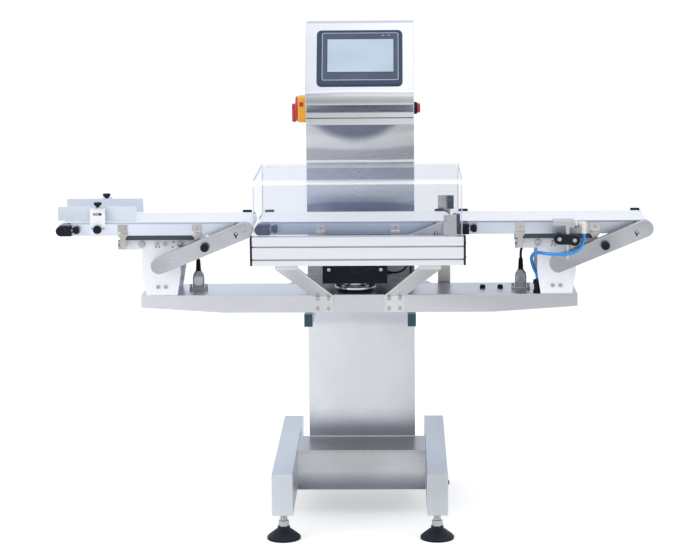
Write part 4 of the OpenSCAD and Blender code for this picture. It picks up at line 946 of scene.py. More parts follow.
def knob(name, point, out, diameter, length):
    """A hand knob: turned body with a dished cap, and grip ribs round it."""
    r = diameter / 2
    build(turned(bmesh.new(), [
        (0, 0), (r * 0.62, 0), (r * 0.7, length * 0.06), (r * 0.72, length * 0.2), (r * 0.93, length * 0.3),
        (r * 0.95, length * 0.86), (r * 0.86, length * 0.98), (r * 0.55, length), (r * 0.5, length * 0.95),
        (0, length * 0.93)], point, out, sides=40), name, ["black_plastic"])
    middle = point + out * (length * 0.58 * MM)
    grown(name + "_grip", RIBS, "black_plastic", pose=pose_of(middle, out),
          Count=24, Radius=r * 0.94, Rib_width=diameter * 0.06, Rib_length=length * 0.5)


# Cables and the air tube: listed routes as in the solids, on the model's own axes in mm

TUBE_ROUTE = [
    (522, -280, 738), (522, -280, 729), (520, -282, 717), (513, -286, 705), (502, -292, 697),
    (486, -297, 693), (468, -298, 692), (450, -294, 692), (434, -285, 692), (421, -271, 692),
    (412, -255, 689), (407, -238, 682), (405, -222, 671), (408, -209, 657), (413, -201, 642),
    (419, -197, 630), (421, -196, 617)]
OUTFEED_ROUTE = [
    (384, -150, 661), (384, -150, 673), (386, -150, 684), (392, -150, 694), (401, -150, 700),
    (412, -150, 703), (426, -150, 703.5), (444, -150, 703.5)]
INFEED_ROUTE = [(-x, y, z) for x, y, z in OUTFEED_ROUTE]
CELL_ROUTE = [
    (75, -130, 623), (87, -130, 623), (98, -126, 625), (107, -116, 629), (113, -103, 634),
    (117, -89, 637), (120, -75, 636), (123, -62, 628), (123, -56, 616), (123, -56, 603)]
CURVE_STEPS = 6


def smooth_line(route):
    """Points of a smooth curve through a route, in the frame's metres."""
    spots = [at(*p) for p in route]
    ends = [2 * spots[0] - spots[1]] + spots + [2 * spots[-1] - spots[-2]]
    line = []
    for a, b, c, d in zip(ends, ends[1:], ends[2:], ends[3:]):
        for k in range(CURVE_STEPS):
            t = k / CURVE_STEPS
            line.append(0.5 * (2 * b + (c - a) * t + (2 * a - 5 * b + 4 * c - d) * t * t
                               + (3 * b - a - 3 * c + d) * t ** 3))
    return line + [spots[-1]]


def make_cord(node, route, diameter, finish, stiffness):
    line = smooth_line(route)
    piece = grown(node + "_finished", TUBE, finish, node, mesh=line_mesh(line), slot=SLOT[node],
                  Diameter=diameter, Sides=16)


for cord in (("air_tube", TUBE_ROUTE, 8.0, "blue_tube"), ("infeed_cable", INFEED_ROUTE, 6.0, "black_rubber"),
             ("outfeed_cable", OUTFEED_ROUTE, 6.0, "black_rubber"),
             ("load_cell_cable", CELL_ROUTE, 5.0, "black_rubber")):
    make_cord(*cord, "medium")


# Base: legs, base box and levelling feet

def make_base():
    for node in ("left_leg", "right_leg"):
        dress(node, "leg_steel", 1.6, 3)
    dress("base_box", "base_steel", 1.2)
    dress("foot_pads", "dark_plastic", 0.8)
    dress("foot_stems", "zinc", 0.6)
    for number, (middle, size) in enumerate(islands("foot_pads")):
        foot = Vector((middle.x, middle.y, 0.0))
        grown("stem_thread_%d" % number, RINGS, "zinc", pose=Matrix.Translation(foot + Z * STEM_FOOT * MM),
              Count=7, Step=2.0, First_radius=8.0, Last_radius=8.0, Bead=0.6)
        rim = [(37, 1.6), (40.3, 1.6), (40.3, 4.6), (39.6, 5.4), (37, 5.4)]
        build(turned(bmesh.new(), rim, foot, Z, 48), "foot_rim_%d" % number, ["black_rubber"],
              slot="dark_plastic")


# Column with its door, hinges and latch

def make_column():
    dress("column_shell", "steel", 1.2)
    foot = [at(side * 131, COLUMN_FRONT - 0.2, BASE_TOP + 0.4) for side in SIDES]
    grown("column_weld", LOOP, "weld", mesh=line_mesh(foot), slot="zinc", Count=110, Size=(1.9, 2.0, 2.2))
    dress("column_door", "steel", 0.7)
    rear = COLUMN_REAR + DOOR_SHEET
    bm = bmesh.new()
    strip_frame(bm, 88.0, (300.0, 830.0), 1.0, (rear - 0.4, rear + 0.5))
    build(bm, "door_pressing", ["steel"], body="column_door", slot="brushed_steel", bevel=0.3)
    bm = bmesh.new()
    strip_frame(bm, 116.5, (246.0, 884.0), 2.5, (COLUMN_REAR + 0.05, COLUMN_REAR + 0.3))
    build(bm, "door_seal", ["black_rubber"], body="column_door")
    dress("door_latch", "black_plastic", 1.0)
    wing = [*slab(20, 5.5, 2.5, 0, 5.0), (17, 4.0, 1.9, 6.2)]
    build(lofted(bmesh.new(), wing, at(100, 265.5, 565), Y, X), "latch_wing", ["black_plastic"],
          body="door_latch")
    # Vent slots as thin black strips: painted shade of the openings
    grown("rear_vents", ROW, "black_metal", pose=Matrix.Translation(at(0, COLUMN_REAR + 0.05, 918)),
          Count=9, Step=(0, 0, 6.0), Size=(90.0, 0.5, 2.4))


# Console head with the control panel

def panel_place():
    """Middle of the panel on the slanted face, and the directions out of the face and up along it."""
    up = Vector((0, math.sin(FACE_TILT), math.cos(FACE_TILT)))
    out = Vector((0, -math.cos(FACE_TILT), math.sin(FACE_TILT)))
    point = at(0, *FACE_FOOT) + up * PANEL_UP * MM
    return point, out, up


def make_console():
    dress("console_shell", "head_steel", 1.4, 3)
    bm = bmesh.new()
    block(bm, (-132.6, 132.6), (72.2, 73.2), (973.6, 975.4), 0)
    block(bm, (-132.6, 132.6), (72.0, 73.2), (970.2, 973.4), 1)
    build(bm, "head_seam", ["black_metal", "head_steel"], slot="head_steel", bevel=0.2)
    point, out, up = panel_place()
    build(lofted(bmesh.new(), [
        *slab(200, 140, 3, -28, -0.05), (210.8, 150.8, 12, 0), (211, 151, 12, 2.6),
        (210.2, 150.2, 11.6, 4.4), (208.4, 148.4, 10.8, 5.6), (205.8, 145.8, 9.6, 6.0),
        (191.0, 134.0, 6.0, 6.0, GLASS_X, 2.2), (189.4, 130.6, 4.6, 5.4, GLASS_X, GLASS_UP),
        (188.6, 129.6, 4.4, 4.3, GLASS_X, GLASS_UP)], point, out, X, corner_points=9),
          "bezel", ["bezel_plastic"], "panel_bezel", smooth=50)
    glass = point + X * GLASS_X * MM + up * GLASS_UP * MM
    build(lofted(bmesh.new(), [
        *slab(187.9, 128.9, 4, 4.25, 5.7), (187.3, 128.3, 3.8, 5.95), (185.4, 126.4, 2.8, 5.95),
        (185.0, 126.0, 2.7, 5.6)], glass, out, X), "screen_lip", ["pale_lip"], slot="screen_glass")
    bm = bmesh.new()
    lofted(bm, slab(184.8, 125.8, 2.6, 4.3, 5.75), glass, out, X, 0)
    lofted(bm, slab(166, 92, 1, 5.6, 5.82, *DISPLAY_SHIFT), glass, out, X, 1)
    lofted(bm, slab(162, 88.5, 0.6, 5.7, 5.9, *DISPLAY_SHIFT), glass, out, X, 2)
    for shift in (56, 70.5):
        lofted(bm, [(6.5, 1.5, 0.7, 5.6, shift, 57), (6.3, 1.3, 0.6, 5.95, shift, 57)], glass, out, X, 3)
    build(bm, "screen", ["screen_border", "bezel_plastic", "screen_glass", "pale_lip"], "panel_screen",
          slot="screen_glass")


# Main switch and push button

def make_main_switch():
    build(lofted(bmesh.new(), [
        *slab(66, 66, 6, 0, 2.6), (64.4, 64.4, 5.4, 4.0), *slab(63.8, 63.8, 6, 4.0, 20), (62, 62, 7, 22.4),
        (59, 59, 9, HOUSING)], at(-COLUMN_HALF, SWITCH_Y, SWITCH_Z), -X, Y, corner_points=8),
          "switch_housing", ["yellow_plastic"], "switch_body")
    bm = bmesh.new()
    for y in (SWITCH_Y - 31.9, SWITCH_Y + 31.9):
        block(bm, (-COLUMN_HALF - 19, -COLUMN_HALF - 8.5), (y - 0.35, y + 0.35),
              (SWITCH_Z + 8, SWITCH_Z + 19))
    build(bm, "switch_padlock_slots", ["red_plastic"])
    places = [(at(-COLUMN_HALF - HOUSING, SWITCH_Y + j, SWITCH_Z + k), -X) for j, k in corners(27.5, 27.5)]
    copies("switch_screws", button_head(4.4, 0.9), places)
    bm = bmesh.new()
    dial = at(-COLUMN_HALF - HOUSING - 0.3, SWITCH_Y, SWITCH_Z)
    turned(bm, [(0, -10), (3.9, -10), (3.9, 0), (30, 0), (31, 0.8), (31, 4.2), (30.2, 5.4), (28, 6), (0, 6)],
           dial, -X, sides=56)
    lofted(bm, [*slab(14, 46, 6.5, 5.5, 12.6, 0, -10), (13, 45, 6, 14.2, 0, -10),
                (10.5, 42.5, 5, 15, 0, -10)], dial, -X, -Y, corner_points=7)
    lofted(bm, slab(3, 12, 1.2, 14.8, 15.25, 0, 5), dial - X * 0.3 * MM, -X, -Y, 1)
    build(bm, "switch_grip", ["red_plastic", "pale_lip"], "switch_handle", body="switch_handle")


def make_button():
    spot = at(COLUMN_HALF, SWITCH_Y, SWITCH_Z)
    build(turned(bmesh.new(), [
        (0, 0), (14.6, 0), (15, 0.4), (15, 6.5), (14.2, 8.4), (13.2, 9), (12.3, 9), (12.1, 8.6), (12.1, 2.1),
        (0, 2)], spot, X, sides=48), "button_ring", ["black_plastic"], "button_bezel")
    grown("button_ring_grip", RIBS, "black_plastic", pose=pose_of(spot + X * 3.6 * MM, X),
          Count=30, Radius=14.75, Rib_width=0.9, Rib_length=4.6)
    build(turned(bmesh.new(), [
        (0, 6.6), (11.8, 6.6), (11.95, 7), (11.95, 14.2), (11.5, 15.4), (10.2, 16.1), (7, 16.4), (0, 16.5)],
        spot, X, sides=48), "button_top", ["red_plastic"], "button_cap", body="button_cap")


# Carrier: lower beam, neck, struts and the aluminium beam

def make_carrier():
    dress("lower_beam", "bar_steel", 1.4, 3)
    dress("beam_neck", "bar_steel", 1.2)
    dress("beam_struts", "strut_steel", 0.8)
    dress("aluminium_beam", "aluminium", 0.5)
    bm = solids_of("end_caps")
    for face in bm.faces:
        face.material_index = int(face.calc_center_median().z < BEAM_TOP * MM)
    build(merge_flats(bm), "caps_and_plugs", ["black_plastic", "arm_plastic"], "end_caps", bevel=0.8)
    low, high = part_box("end_caps")
    centre = middle_of(*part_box("aluminium_beam"))
    places = [(Vector((end, centre.y, centre.z + k * 16.5 * MM)), out)
              for end, out in ((low.x, -X), (high.x, X)) for k in SIDES]
    copies("cap_screws", button_head(8, 1.2), places)
    places = [(at(side * 166 + dx, -295, 665), -Z) for side in SIDES for dx in (-14, 14)]
    copies("strut_head_screws", button_head(8, 3), places)
    number = 0
    for side in SIDES:
        for start, end in (((171, -66, BEAM_TOP + 0.2), (0, -66, BEAM_TOP + 0.2)),
                           ((133.4, 74.6, 517), (133.4, 74.6, 586)),
                           ((158, -68.4, 72), (158, -68.4, 168))):
            line = [at(side * x, y, z) for x, y, z in (start, end)]
            count = max(int((line[1] - line[0]).length / (BEAD_STEP * MM)), 2)
            grown("weld_%d" % number, LOOP, "zinc", mesh=line_mesh(line), Count=count, Size=(1.8, 1.1, 1.5))
            number += 1


# Stands, load cell and cradles

def make_stands():
    dress("conveyor_stands", "white_metal", 0.5)
    dress("weigh_stand", "black_metal", 0.7)
    dress("cradle_blocks", "bar_plastic", 0.8)
    bm = bmesh.new()
    spot = at(-9, BELT_Y, BEAM_TOP)
    turned(bm, disc(45, 0, 6.4), spot, Z, sides=72, tint=1)
    turned(bm, [(0, 6), (47.4, 6), (49, 7.2), (49, 11.4), (47.6, 13), (34, 13), (33.4, 12.4), (31, 12.4),
                (30.4, 13), (28, 13), (27.5, 13.6), (27.5, 17.6), (26.4, 18.2), (26.4, 21.4), (27.5, 22),
                (27.5, 26), (0, 26)], spot, Z, sides=72)
    build(bm, "load_cell_body", ["steel_shaft", "black_metal"], "load_cell")
    holes = [(at(CONVEYORS[name] + dx, BEAM_FRONT + 2, z), -Y) for name in ("infeed", "outfeed")
             for dx, z in ((-12, 702), (-4, 702), (-8, 711), (30, 714), (27, 702))]
    copies("stand_holes", dark_hole(3.6), holes, finish="black_metal")


def make_fasteners():
    """Screw heads stand where the CAD has them; hexagons are the widest ones on the white stands."""
    sockets, hexes = [], []
    for middle, size in islands("fasteners"):
        if size.z < size.y:
            sockets.append((middle - Z * size.z / 2, Z))
        else:
            found = hexes if size.x > HEX_SIZE * MM else sockets
            found.append((middle + Y * size.y / 2, -Y))
    copies("socket_screws", socket_head(9.0, 3.0), sockets, "fasteners")
    copies("stand_bolts", hex_head(7.5, 5.3), hexes)


# Conveyors

def make_rollers(name, x):
    """The rollers and the pulley of one conveyor, with a marked cap on each roller's front end."""
    for roller in ("_drive_roller", "_tail_roller"):
        dress(name + roller, "steel_shaft", 0.5)
    dress(name + "_motor_pulley", "steel_shaft", 0.4)
    for part, reach in (("_drive_roller", DRIVE_X), ("_tail_roller", TAIL_X)):
        low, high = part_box(name + part)
        axle = Vector((at(x + reach, 0, 0).x, low.y, AXLE_Z * MM))
        bm = bmesh.new()
        turned(bm, [(0, -0.4), (4.6, -0.4), (4.6, 0.15), (3.8, 0.3), (0, 0.3)], axle, -Y, sides=24)
        lofted(bm, [(7.4, 1.4, 0.5, 0.2), (7.2, 1.2, 0.5, 0.45)], axle, -Y, X, 1)
        build(bm, name + part + "_cap", ["black_plastic", "dark_plastic"], body=name + part,
              slot="steel_shaft")


def make_belts():
    """The three belts are one CAD node, and the weigh belt has painted light: its finish is a little
    brighter.
    """
    bm = joined_copy("conveyor_belts")
    middle, half = at(0, 0, 0).x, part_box("weigh_frame")[1].x
    for face in bm.faces:
        face.material_index = int(abs(face.calc_center_median().x - middle) < half)
    build(bm, "conveyor_belts_finished", ["belt_white", "weigh_belt"], "conveyor_belts",
          slot=SLOT["conveyor_belts"], bevel=0.5)


def make_hangers():
    """Screws, clips and nuts of the two hangers under each conveyor."""
    spots = [(x, side) for x in CONVEYORS.values() for side in SIDES]
    screws = [(at(x + side * HANGER_X, FRAME_FRONT - 3, 750), -Y) for x, side in spots]
    copies("hanger_screws", button_head(7.0, 2.0), screws)
    bm = bmesh.new()
    nuts = []
    for x, side in spots:
        middle = x + side * HANGER_X
        clip = [*slab(21.5, 9, 2.5, 0, 1.6), (20, 7.6, 2, 2.2)]
        lofted(bm, clip, at(middle, FRAME_FRONT - 3, 737.5), -Y, X)
        nuts += [(at(middle + side * 5.5, FRAME_FRONT + 1.5, z), X * side) for z in (716.5, 704.5)]
    build(bm, "hanger_clips", ["bracket_steel"])
    copies("hanger_nuts", hex_head(5.5, 6.5), nuts)


def make_conveyors():
    for name, x in CONVEYORS.items():
        # The weigh conveyor's frame takes the darker copy, as painted shade
        dress(name + "_frame", "shaded_aluminium" if name == "weigh" else "frame_aluminium", 0.5)
        make_rollers(name, x)
    make_belts()
    dress("bearing_blocks", "black_plastic", 2.2, 3)
    bm = bmesh.new()
    for name, shift in REAR_CAPS:
        cap = [*slab(22, 9, 2, 0, 9), (20.6, 7.6, 1.6, 10)]
        lofted(bm, cap, at(CONVEYORS[name] + shift, -64, 757), Z, X)
    build(bm, "rear_block_caps", ["black_plastic"])
    dress("hanger_brackets", "bracket_steel", 0.5)
    dress("timing_belts", "black_rubber", 0.3)
    places = [(at(x + dx, y, AXLE_Z), out) for x in CONVEYORS.values()
              for y, out in ((FRAME_FRONT - 14, -Y), (-56.0, Y)) for dx in (181, 207.5)]
    copies("block_screws", button_head(5.0, 1.0), places)
    make_hangers()


def make_guards():
    """Belt guards with a fixing screw at the top end and a keyhole beside it.

    The weigh conveyor's guard is painted black at its lower end, as painted shade where it hangs in front of
    the black stand.
    """
    bm = joined_copy("belt_guards")
    start, end = at(-GUARD_PAINTED_SHADE, 0, 0), at(GUARD_PAINTED_SHADE, 0, 0)
    bmesh.ops.bisect_plane(bm, geom=bm.verts[:] + bm.edges[:] + bm.faces[:], plane_co=end, plane_no=X)
    for face in bm.faces:
        face.material_index = int(start.x < face.calc_center_median().x < end.x)
    build(bm, "belt_guards_finished", ["guard_steel", "black_metal"], "belt_guards",
          slot=SLOT["belt_guards"], bevel=1.4, segments=3)
    down = -Vector((GUARD_X, 0, GUARD_Z - MOTOR_Z)).normalized()
    screws, holes = [], []
    # Keyholes as shallow black shapes: painted shade of the openings
    bm = bmesh.new()
    for x in CONVEYORS.values():
        top = Vector((x + GUARD_X, GUARD_FRONT, GUARD_Z))
        hole = top + down * 21.0
        turned(bm, disc(4.9, -0.3, 0.15), at(*hole), -Y, sides=24)
        lofted(bm, slab(3.4, 8.5, 1.6, -0.3, 0.14, 0, -5), at(*hole), -Y, X)
        screws.append((at(*top), -Y))
        holes.append((at(*(hole + Vector((0.6, 0, 0.8)))), -Y))
    build(bm, "guard_keyholes", ["black_metal"])
    copies("guard_screws", button_head(7.0, 1.8), screws)
    copies("keyhole_screws", button_head(6.4, 1.4), holes)


def make_timing_teeth():
    """Teeth on the inner side of each toothed belt."""
    low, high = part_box("timing_belts")
    for name, x in CONVEYORS.items():
        first, second = Vector((x, MOTOR_Z)), Vector((x + DRIVE_X, AXLE_Z))
        along = (second - first).normalized()
        side = Vector((-along.y, along.x))
        lean = math.atan2(side.y, side.x)
        route = []
        for centre, start in ((first, lean), (second, lean - math.pi)):
            for k in range(ARC_STEPS + 1):
                angle = start + math.pi * k / ARC_STEPS
                route.append(centre + PITCH_RADIUS * Vector((math.cos(angle), math.sin(angle))))
        points = [Vector((at(p.x, 0, 0).x, (low.y + high.y) / 2, p.y * MM)) for p in route]
        grown(name + "_belt_teeth", LOOP, "black_rubber", mesh=line_mesh(points, True),
              Count=96, Size=(0.9, 1.6, 7.6))


def make_motors():
    dress("drive_motors", "black_metal", 1.2)
    front = BEAM_FRONT + 7.0
    for name, x in CONVEYORS.items():
        for side in SIDES:
            grown("%s_fins_%d" % (name, side + 1), ROW, "black_metal",
                  pose=Matrix.Translation(at(x + side * 28.9, front + 60, MOTOR_Z)),
                  Count=7, Step=(0, 0, 6.4), Size=(1.6, 66.0, 2.2))
        bm = bmesh.new()
        turned(bm, [(0, -0.4), (25, -0.4), (25, 1.4), (23.5, 2.2), (0, 2.2)], at(x, front + 100, MOTOR_Z), Y,
               sides=48)
        lid = [*slab(36, 70, 3, -0.4, 1.6), (34, 68, 3, 2.2)]
        lofted(bm, lid, at(x, front + LID_Y, MOTOR_Z + 48.5), Z, X)
        side = -1 if name == "outfeed" else 1
        turned(bm, [(0, 0), (6, 0, 6), (6, 4, 6), (5, 4.4), (5, 7), (3.4, 8), (0, 8)],
               at(x + side * 20, BELT_Y + 5, 703.5), X * side, sides=24)
        build(bm, name + "_motor_ends", ["black_metal"])
        places = [(at(x + i, front + 100.1, MOTOR_Z + k), Y) for i, k in corners(22, 22)]
        places += [(at(x + i, front + LID_Y + k, MOTOR_Z + 50.7), Z) for i, k in corners(14, 30)]
        copies(name + "_motor_screws", socket_head(5.0, 1.6), places)


def star_knob(name, foot):
    """A low thumb knob along Z, with wide ribs."""
    build(turned(bmesh.new(), [
        (0, 0), (3.4, 0), (3.6, 1.6), (5.8, 2.4), (7.9, 4.4), (9.1, 7), (9.5, 9), (9.3, 10), (8.4, 10.8),
        (4, 11.2), (0, 11)], foot, Z, sides=40), name, ["black_plastic"])
    grown(name + "_grip", RIBS, "black_plastic", pose=Matrix.Translation(foot + Z * 8.4 * MM),
          Count=12, Radius=8.9, Rib_width=1.2, Rib_length=2.6)


def make_knobs():
    """Hand knobs stand where the CAD has them, and their sizes tell which kind they are."""
    bm = bmesh.new()
    for number, (middle, size) in enumerate(islands("hand_knobs"), 1):
        name = "knob_%d" % number
        wide, deep = size.x / MM, size.y / MM
        if wide > END_KNOB_LENGTH:
            end = middle + X * size.x / 2
            knob(name, end - X * 15.0 * MM, X, 18.0, 15.0)
            turned(bm, disc(2.5, 0, 11), end - X * 26.0 * MM, X, sides=16)
        elif deep < CLAMP_KNOB_DEPTH and wide > CLAMP_KNOB_WIDTH:
            out = Y if middle.y > at(0, BELT_Y, 0).y else -Y
            knob(name, middle - out * size.y / 2, out, 20.0, deep)
        else:
            foot = Vector((middle.x, middle.y, middle.z + size.z / 2)) - Z * 14.0 * MM
            star_knob(name, foot)
            turned(bm, disc(3, 0, 4.5), foot - Z * 4.4 * MM, Z, sides=16)
    build(bm, "knob_screws", ["zinc"], "hand_knobs")


# Guides, cover and photo-eyes

def make_guides():
    dress("guide_brackets", "white_metal", 0.6)
    faces = ((-243.0, -Y), (-67.0, Y))
    screws = [(at(GUIDE_X + dx, y, 750), out) for y, out in faces for dx in (-14, 14)]
    copies("guide_screws", button_head(5.0, 1.2), screws)
    # Slots as dark plates round a zinc screw: the dark is painted shade of the slot
    bm = bmesh.new()
    for y, out in faces:
        lofted(bm, slab(20, 5.6, 2.4, -0.3, 0.12), at(GUIDE_X, y, 783), out, X, 0)
        lofted(bm, slab(12, 3.6, 1.4, 0.05, 0.4), at(GUIDE_X - 2, y, 783), out, X, 1)
    build(bm, "guide_slots", ["dark_plastic", "zinc"], slot="white_metal")
    dress("front_guide", "guide_plastic", 0.5)
    dress("rear_guide", "guide_plastic", 0.5)


def make_cover():
    """Clear tunnel, with the faces of its bends marked for a painted highlight."""
    bm = joined_copy("tunnel_cover")
    mark = bm.faces.layers.float.new("edge")
    for face in bm.faces:
        if abs(face.normal.y) > BEND_SLANT and abs(face.normal.z) > BEND_SLANT:
            face[mark] = 1.0
    build(bm, "tunnel_cover_finished", ["clear_cover"], "tunnel_cover", body="tunnel_cover",
          slot=SLOT["tunnel_cover"], bevel=0.6)
    bm = bmesh.new()
    for side in SIDES:
        x = sorted((side * (COVER_HALF - 0.3), side * (COVER_HALF - 2.0)))
        block(bm, x, (COVER_FRONT + 15, COVER_REAR - 15), (COVER_TOP - 4.4, COVER_TOP - 0.6))
        for y in ((COVER_FRONT + 0.6, COVER_FRONT + 4.4), (COVER_REAR - 4.4, COVER_REAR - 0.6)):
            block(bm, x, y, (738, COVER_TOP - 14))
    build(bm, "cover_cut_edges", ["pale_lip"], body="tunnel_cover", slot="clear_cover")


def make_eyes():
    dress("eye_brackets", "bracket_steel", 0.5)
    dress("photo_eyes", "dark_plastic", 1.2, 3)
    bm = bmesh.new()
    for point, out, across in ((at(228, -273, 774), Y, X), (at(219, -74, 790), -Y, -X)):
        lofted(bm, [*slab(10, 14, 3, -0.3, 0.5), (8.6, 12.6, 2.6, 0.9)], point, out, across, 0)
        turned(bm, [(0, 0.4), (3.4, 0.4), (3.2, 1.3), (1.8, 1.8), (0, 2.0)], point, out, sides=24, tint=1)
    for x, y, z in ((228, -282, 784.4), (219, -64, 798.4)):
        turned(bm, [(0, -0.3), (1.7, -0.3), (1.7, 0.5), (0, 0.9)], at(x, y, z), Z, sides=14, tint=2)
    build(bm, "eye_windows", ["black_plastic", "screen_border", "yellow_plastic"], slot="dark_plastic")
    screws = [(at(202, -295, z), -Y) for z in (772, 781)] + [(at(196, -52, z), Y) for z in (776, 792)]
    copies("eye_screws", button_head(6.0, 1.6), screws)


# Reject unit

def make_reject_unit():
    dress("rod_clamp", "black_plastic", 1.6, 3)
    dress("nozzle_rod", "bar_steel", 0.4)
    copies("clamp_screws", socket_head(9.0, 2.0), [(at(465, -296, 727), -Y), (at(500, -296, 724), -Y)])
    build(turned(bmesh.new(), [
        (0, 0), (7.6, 0), (9, 0.8, 6), (9, 7.4, 6), (7.4, 8.2), (6.6, 8.6), (6.6, 9.6), (7.4, 10),
        (9, 10.6, 6), (9, 15.2, 6), (7.6, 16), (0, 16)], at(500, JET_Y, JET_Z), X, sides=36),
          "jet_hexagon", ["zinc"], slot="fitting")
    bm = bmesh.new()
    elbow = at(522, JET_Y, JET_Z)
    turned(bm, [(0, -7), (5.6, -7), (6.6, -6.2), (7, -5), (7, 0), (6.8, 2), (6.1, 3.6), (4.9, 5), (3.2, 6.2),
                (0, 7)], elbow, X)
    turned(bm, [(0, -7), (3, -6.3), (5, -4.9), (6.3, -3), (7, 0), (7, 14.6), (6.4, 15.4), (6.4, 16.6),
                (7, 17.2), (7, 20), (6, 22), (4.3, 22), (4.2, 21), (0, 21)], elbow, -Z)
    build(bm, "jet_elbow", ["fitting"], "air_fitting", smooth=45)
    # Nozzle holes as shallow black discs: painted shade of the openings
    bm = bmesh.new()
    for k in range(5):
        turned(bm, disc(1.0, -0.3, 0.15), at(486, JET_Y - 7.5 + 3.6 * k, JET_Z), -X, sides=12)
    build(bm, "jet_holes", ["black_metal"])


# Plugs, boots, sockets and glands

def make_plug(number, x, label_width, label_finish, *nodes):
    """Connector hood with sloping shoulders and its label, thumb screws and a ribbed boot."""
    foot = at(x, PLUG_Y, BEAM_TOP)
    bm = bmesh.new()
    lofted(bm, [*slab(44, 14, 2.5, 0, 3.8), (42.5, 12.5, 2, 5)], foot, Z, X)
    lofted(bm, [(26, 14, 3, 4.5), *slab(27, 16, 3, 8, 30), (24, 16, 4, 38), (18, 14.5, 5, 42.5),
                (15, 13.5, 5, 46), (13, 12.5, 5, 46)], foot, Z, X)
    boot = [(0, 45.5), (6.4, 45.5), (6.4, 49), (6, 50), (4.4, 73.6), (0, 73.8)]
    turned(bm, boot, foot, Z, sides=28, tint=1)
    lofted(bm, slab(label_width, 20, 6, -8.4, 8.4), foot + Z * 22 * MM, Y, X, 2)
    build(bm, "plug_hood_%d" % number, ["plug_grey", "black_rubber", label_finish], *nodes)
    grown("boot_ribs_%d" % number, RINGS, "black_rubber", pose=Matrix.Translation(foot + Z * 51.5 * MM),
          slot="plug_grey", Count=7, Step=3.2, First_radius=5.9, Last_radius=4.8, Bead=0.7)
    head = turned_part([(0, 0), (2.4, 0), (2.4, 1.5), (3.2, 2), (3.2, 8.4), (2.6, 9), (0, 9)], 20)
    places = [(at(x + side * 18.5, PLUG_Y, BEAM_TOP + 4.5), Z) for side in SIDES]
    copies("plug_screws_%d" % number, head, places)


def make_plugs():
    make_plug(0, -PLUG_X, 20, "white_metal", "cable_plugs")
    make_plug(1, PLUG_X, 15, "gear_grey")


def make_cable_fittings():
    bm = bmesh.new()
    bulkhead, outlet, inlet = at(421, -196, BEAM_TOP), at(123, -56, BEAM_TOP), at(60, COLUMN_REAR, 205)
    turned(bm, [(0, 0), (9.9, 0, 6), (9.9, 4.6, 6), (8.6, 5.2), (8, 5.4), (8, 18), (9.2, 18.6), (10, 19.4),
                (10, 27.6), (9, 29.4), (5.2, 30), (4.4, 29.4), (0, 29.4)], bulkhead, Z, sides=36)
    for x in (294.0, 336.0):
        turned(bm, [(0, 0), (7, 0), (7, 2.2), (6.4, 2.6), (6.4, 6.4), (5.8, 7), (4.6, 7), (4.5, 4), (0, 4)],
               at(x, -139, BEAM_TOP), Z)
    turned(bm, [(0, 0), (8, 0, 6), (8, 5.4, 6), (6.6, 6), (6.6, 8), (7.8, 8.6), (7.4, 14), (5, 16), (0, 16)],
           outlet, Z, sides=36)
    turned(bm, [(0, -0.2), (5, -0.2, 6), (5, 4, 6), (4.2, 4.4), (4.6, 5), (4.2, 7.4), (3, 8), (0, 8)],
           at(67, -130, 623), X, sides=30)
    turned(bm, [(5.2, -2), (10, -2), (10, 0), (14, 0, 6), (14, 8.6, 6), (12.4, 10), (9, 10.2), (9.8, 11),
                (9.8, 17), (8, 19.6), (5.4, 20), (4.6, 19.6), (4.6, -2)], inlet, Y, sides=36)
    build(bm, "glands_and_sockets", ["black_plastic"], "cable_fittings")
    grips = ((bulkhead, Z, 23.5, 9.8, 7.0), (inlet, Y, 14.0, 9.6, 5.0), (outlet, Z, 11.0, 7.4, 4.0))
    for number, (foot, out, level, radius, length) in enumerate(grips):
        grown("gland_grip_%d" % number, RIBS, "black_plastic", pose=pose_of(foot + out * level * MM, out),
              Count=18, Radius=radius, Rib_width=1.0, Rib_length=length)


# Control gear behind the door

def gear_row(name, finish, point, count, step, size):
    """A row of small blocks on the control gear."""
    grown(name, ROW, finish, pose=Matrix.Translation(at(*point)), slot="gear_grey", Count=count, Step=step,
          Size=size)


def make_control_gear():
    dress("control_gear", "gear_grey", 0.6)
    face = GEAR_PLATE + 70.0
    for k in (-1, 0, 1):
        x = 60.0 * k
        name = "module_%d" % (k + 1)
        bm = bmesh.new()
        lofted(bm, slab(41, 30, 1.5, 0, 0.8), at(x, face, 640), Y, -X)
        lofted(bm, [*slab(10, 18, 1.5, 0, 3.5), (8, 15, 1.2, 4.2)], at(x, face, 605), Y, -X)
        build(bm, name + "_front", ["black_plastic"], slot="gear_grey")
        gear_row(name + "_clamps", "zinc", (x, face + 0.2, 664), 4, (10.0, 0, 0), (6.0, 0.8, 6.0))
    # The supply's slots as thin black strips: painted shade of the openings
    gear_row("supply_slots", "black_metal", (0, face + 0.1, 425), 14, (0, 0, 8.0), (80.0, 0.6, 3.0))
    gear_row("terminals", "black_plastic", (0, GEAR_PLATE + 45.2, 300), 20, (8.0, 0, 0), (1.0, 0.8, 36.0))


for make_part in (make_base, make_column, make_console, make_main_switch, make_button, make_carrier,
                  make_stands, make_fasteners, make_conveyors, make_guards, make_timing_teeth, make_motors,
                  make_knobs, make_guides, make_cover, make_eyes, make_reject_unit, make_plugs,
                  make_cable_fittings, make_control_gear):
    make_part()


# Studio: pale floor, white surroundings and soft lamps

FLOOR_SIZE = 90.0
FLOOR_COLOUR = (0.8, 0.8, 0.8, 1)
FLOOR_GLOW = 0.12
FLOOR_SHEEN = 0.3
SKY = 0.76
DARK_FRONT = 0.5
REAR_TINT = (0.9, 0.96, 1.06)


def light_path(tree):
    """The light path's outputs, and where a surface is looked at, straight or through the clear cover."""
    path = tree.nodes.new("ShaderNodeLightPath").outputs
    return path, maths(tree, "MAXIMUM", path["Is Camera Ray"], path["Is Transmission Ray"])


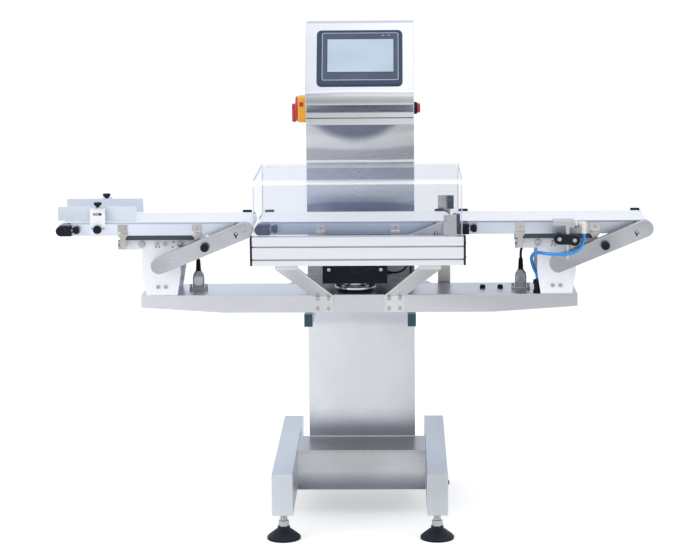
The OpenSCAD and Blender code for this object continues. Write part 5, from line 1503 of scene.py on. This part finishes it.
def make_floor():
    bm = bmesh.new()
    bmesh.ops.create_grid(bm, x_segments=1, y_segments=1, size=FLOOR_SIZE / 2)
    mesh = bpy.data.meshes.new("floor")
    bm.to_mesh(mesh)
    bm.free()
    paint = bpy.data.materials.new("pale floor")
    paint.use_nodes = True
    tree = paint.node_tree
    seen = light_path(tree)[1]
    glow = maths(tree, "MULTIPLY_ADD", seen, FLOOR_GLOW, FLOOR_SHEEN)
    shader = tree.nodes["Principled BSDF"].inputs
    shader["Base Color"].default_value = FLOOR_COLOUR
    shader["Roughness"].default_value = 0.9
    shader["Emission Color"].default_value = (1, 1, 1, 1)
    tree.links.new(glow, shader["Emission Strength"])
    mesh.materials.append(paint)
    floor = bpy.data.objects.new("floor", mesh)
    bpy.context.scene.collection.objects.link(floor)


def make_world():
    """White where it is seen and even for plain surfaces. Metal mirrors a room that is darker in front."""
    world = bpy.data.worlds.new("studio")
    world.use_nodes = True
    tree = world.node_tree
    path, looked_at = light_path(tree)
    way = tree.nodes.new("ShaderNodeTexCoord").outputs["Generated"]
    way = add(tree, "ShaderNodeSeparateXYZ", {0: way}).outputs
    above = mapped(tree, way["Z"], 0.12, 0.62, DARK_FRONT, 1.05)
    behind = mapped(tree, way["Y"], -0.1, 0.7, DARK_FRONT, 0.95)
    room = maths(tree, "MAXIMUM", above, behind)
    mirrored = times(tree, path["Is Glossy Ray"], minus(tree, room, SKY))
    shaded_sky = plus(tree, mirrored, SKY)
    unseen = minus(tree, 1.0, looked_at)
    rear = mapped(tree, way["Y"], 0.2, 0.8, 0.0, 1.0)
    tint = mix_colours(tree, times(tree, rear, unseen), (1, 1, 1), REAR_TINT)
    strength = plus(tree, shaded_sky, times(tree, looked_at, 1.0 - SKY))
    background = tree.nodes["Background"].inputs
    tree.links.new(tint, background["Color"])
    tree.links.new(strength, background["Strength"])
    bpy.context.scene.world = world


def make_lamp(name, place, aim, size, power):
    lamp = bpy.data.lights.new(name, "AREA")
    lamp.shape = "RECTANGLE"
    lamp.size, lamp.size_y = size
    lamp.energy = power
    holder = bpy.data.objects.new(name, lamp)
    holder.location = place
    holder.rotation_euler = (Vector(aim) - Vector(place)).to_track_quat("-Z", "Y").to_euler()
    bpy.context.scene.collection.objects.link(holder)


make_floor()
make_world()
make_lamp("top softbox", (-0.4, -1.2, 3.4), (0, 0, 0.6), (4.4, 3.2), 34)
make_lamp("left softbox", (-3.2, -2.6, 1.9), (0, 0, 0.7), (1.6, 2.4), 34)
make_lamp("right softbox", (3.2, -2.0, 1.7), (0, 0, 0.7), (1.4, 2.2), 20)
bpy.context.scene.view_settings.view_transform = "Standard"
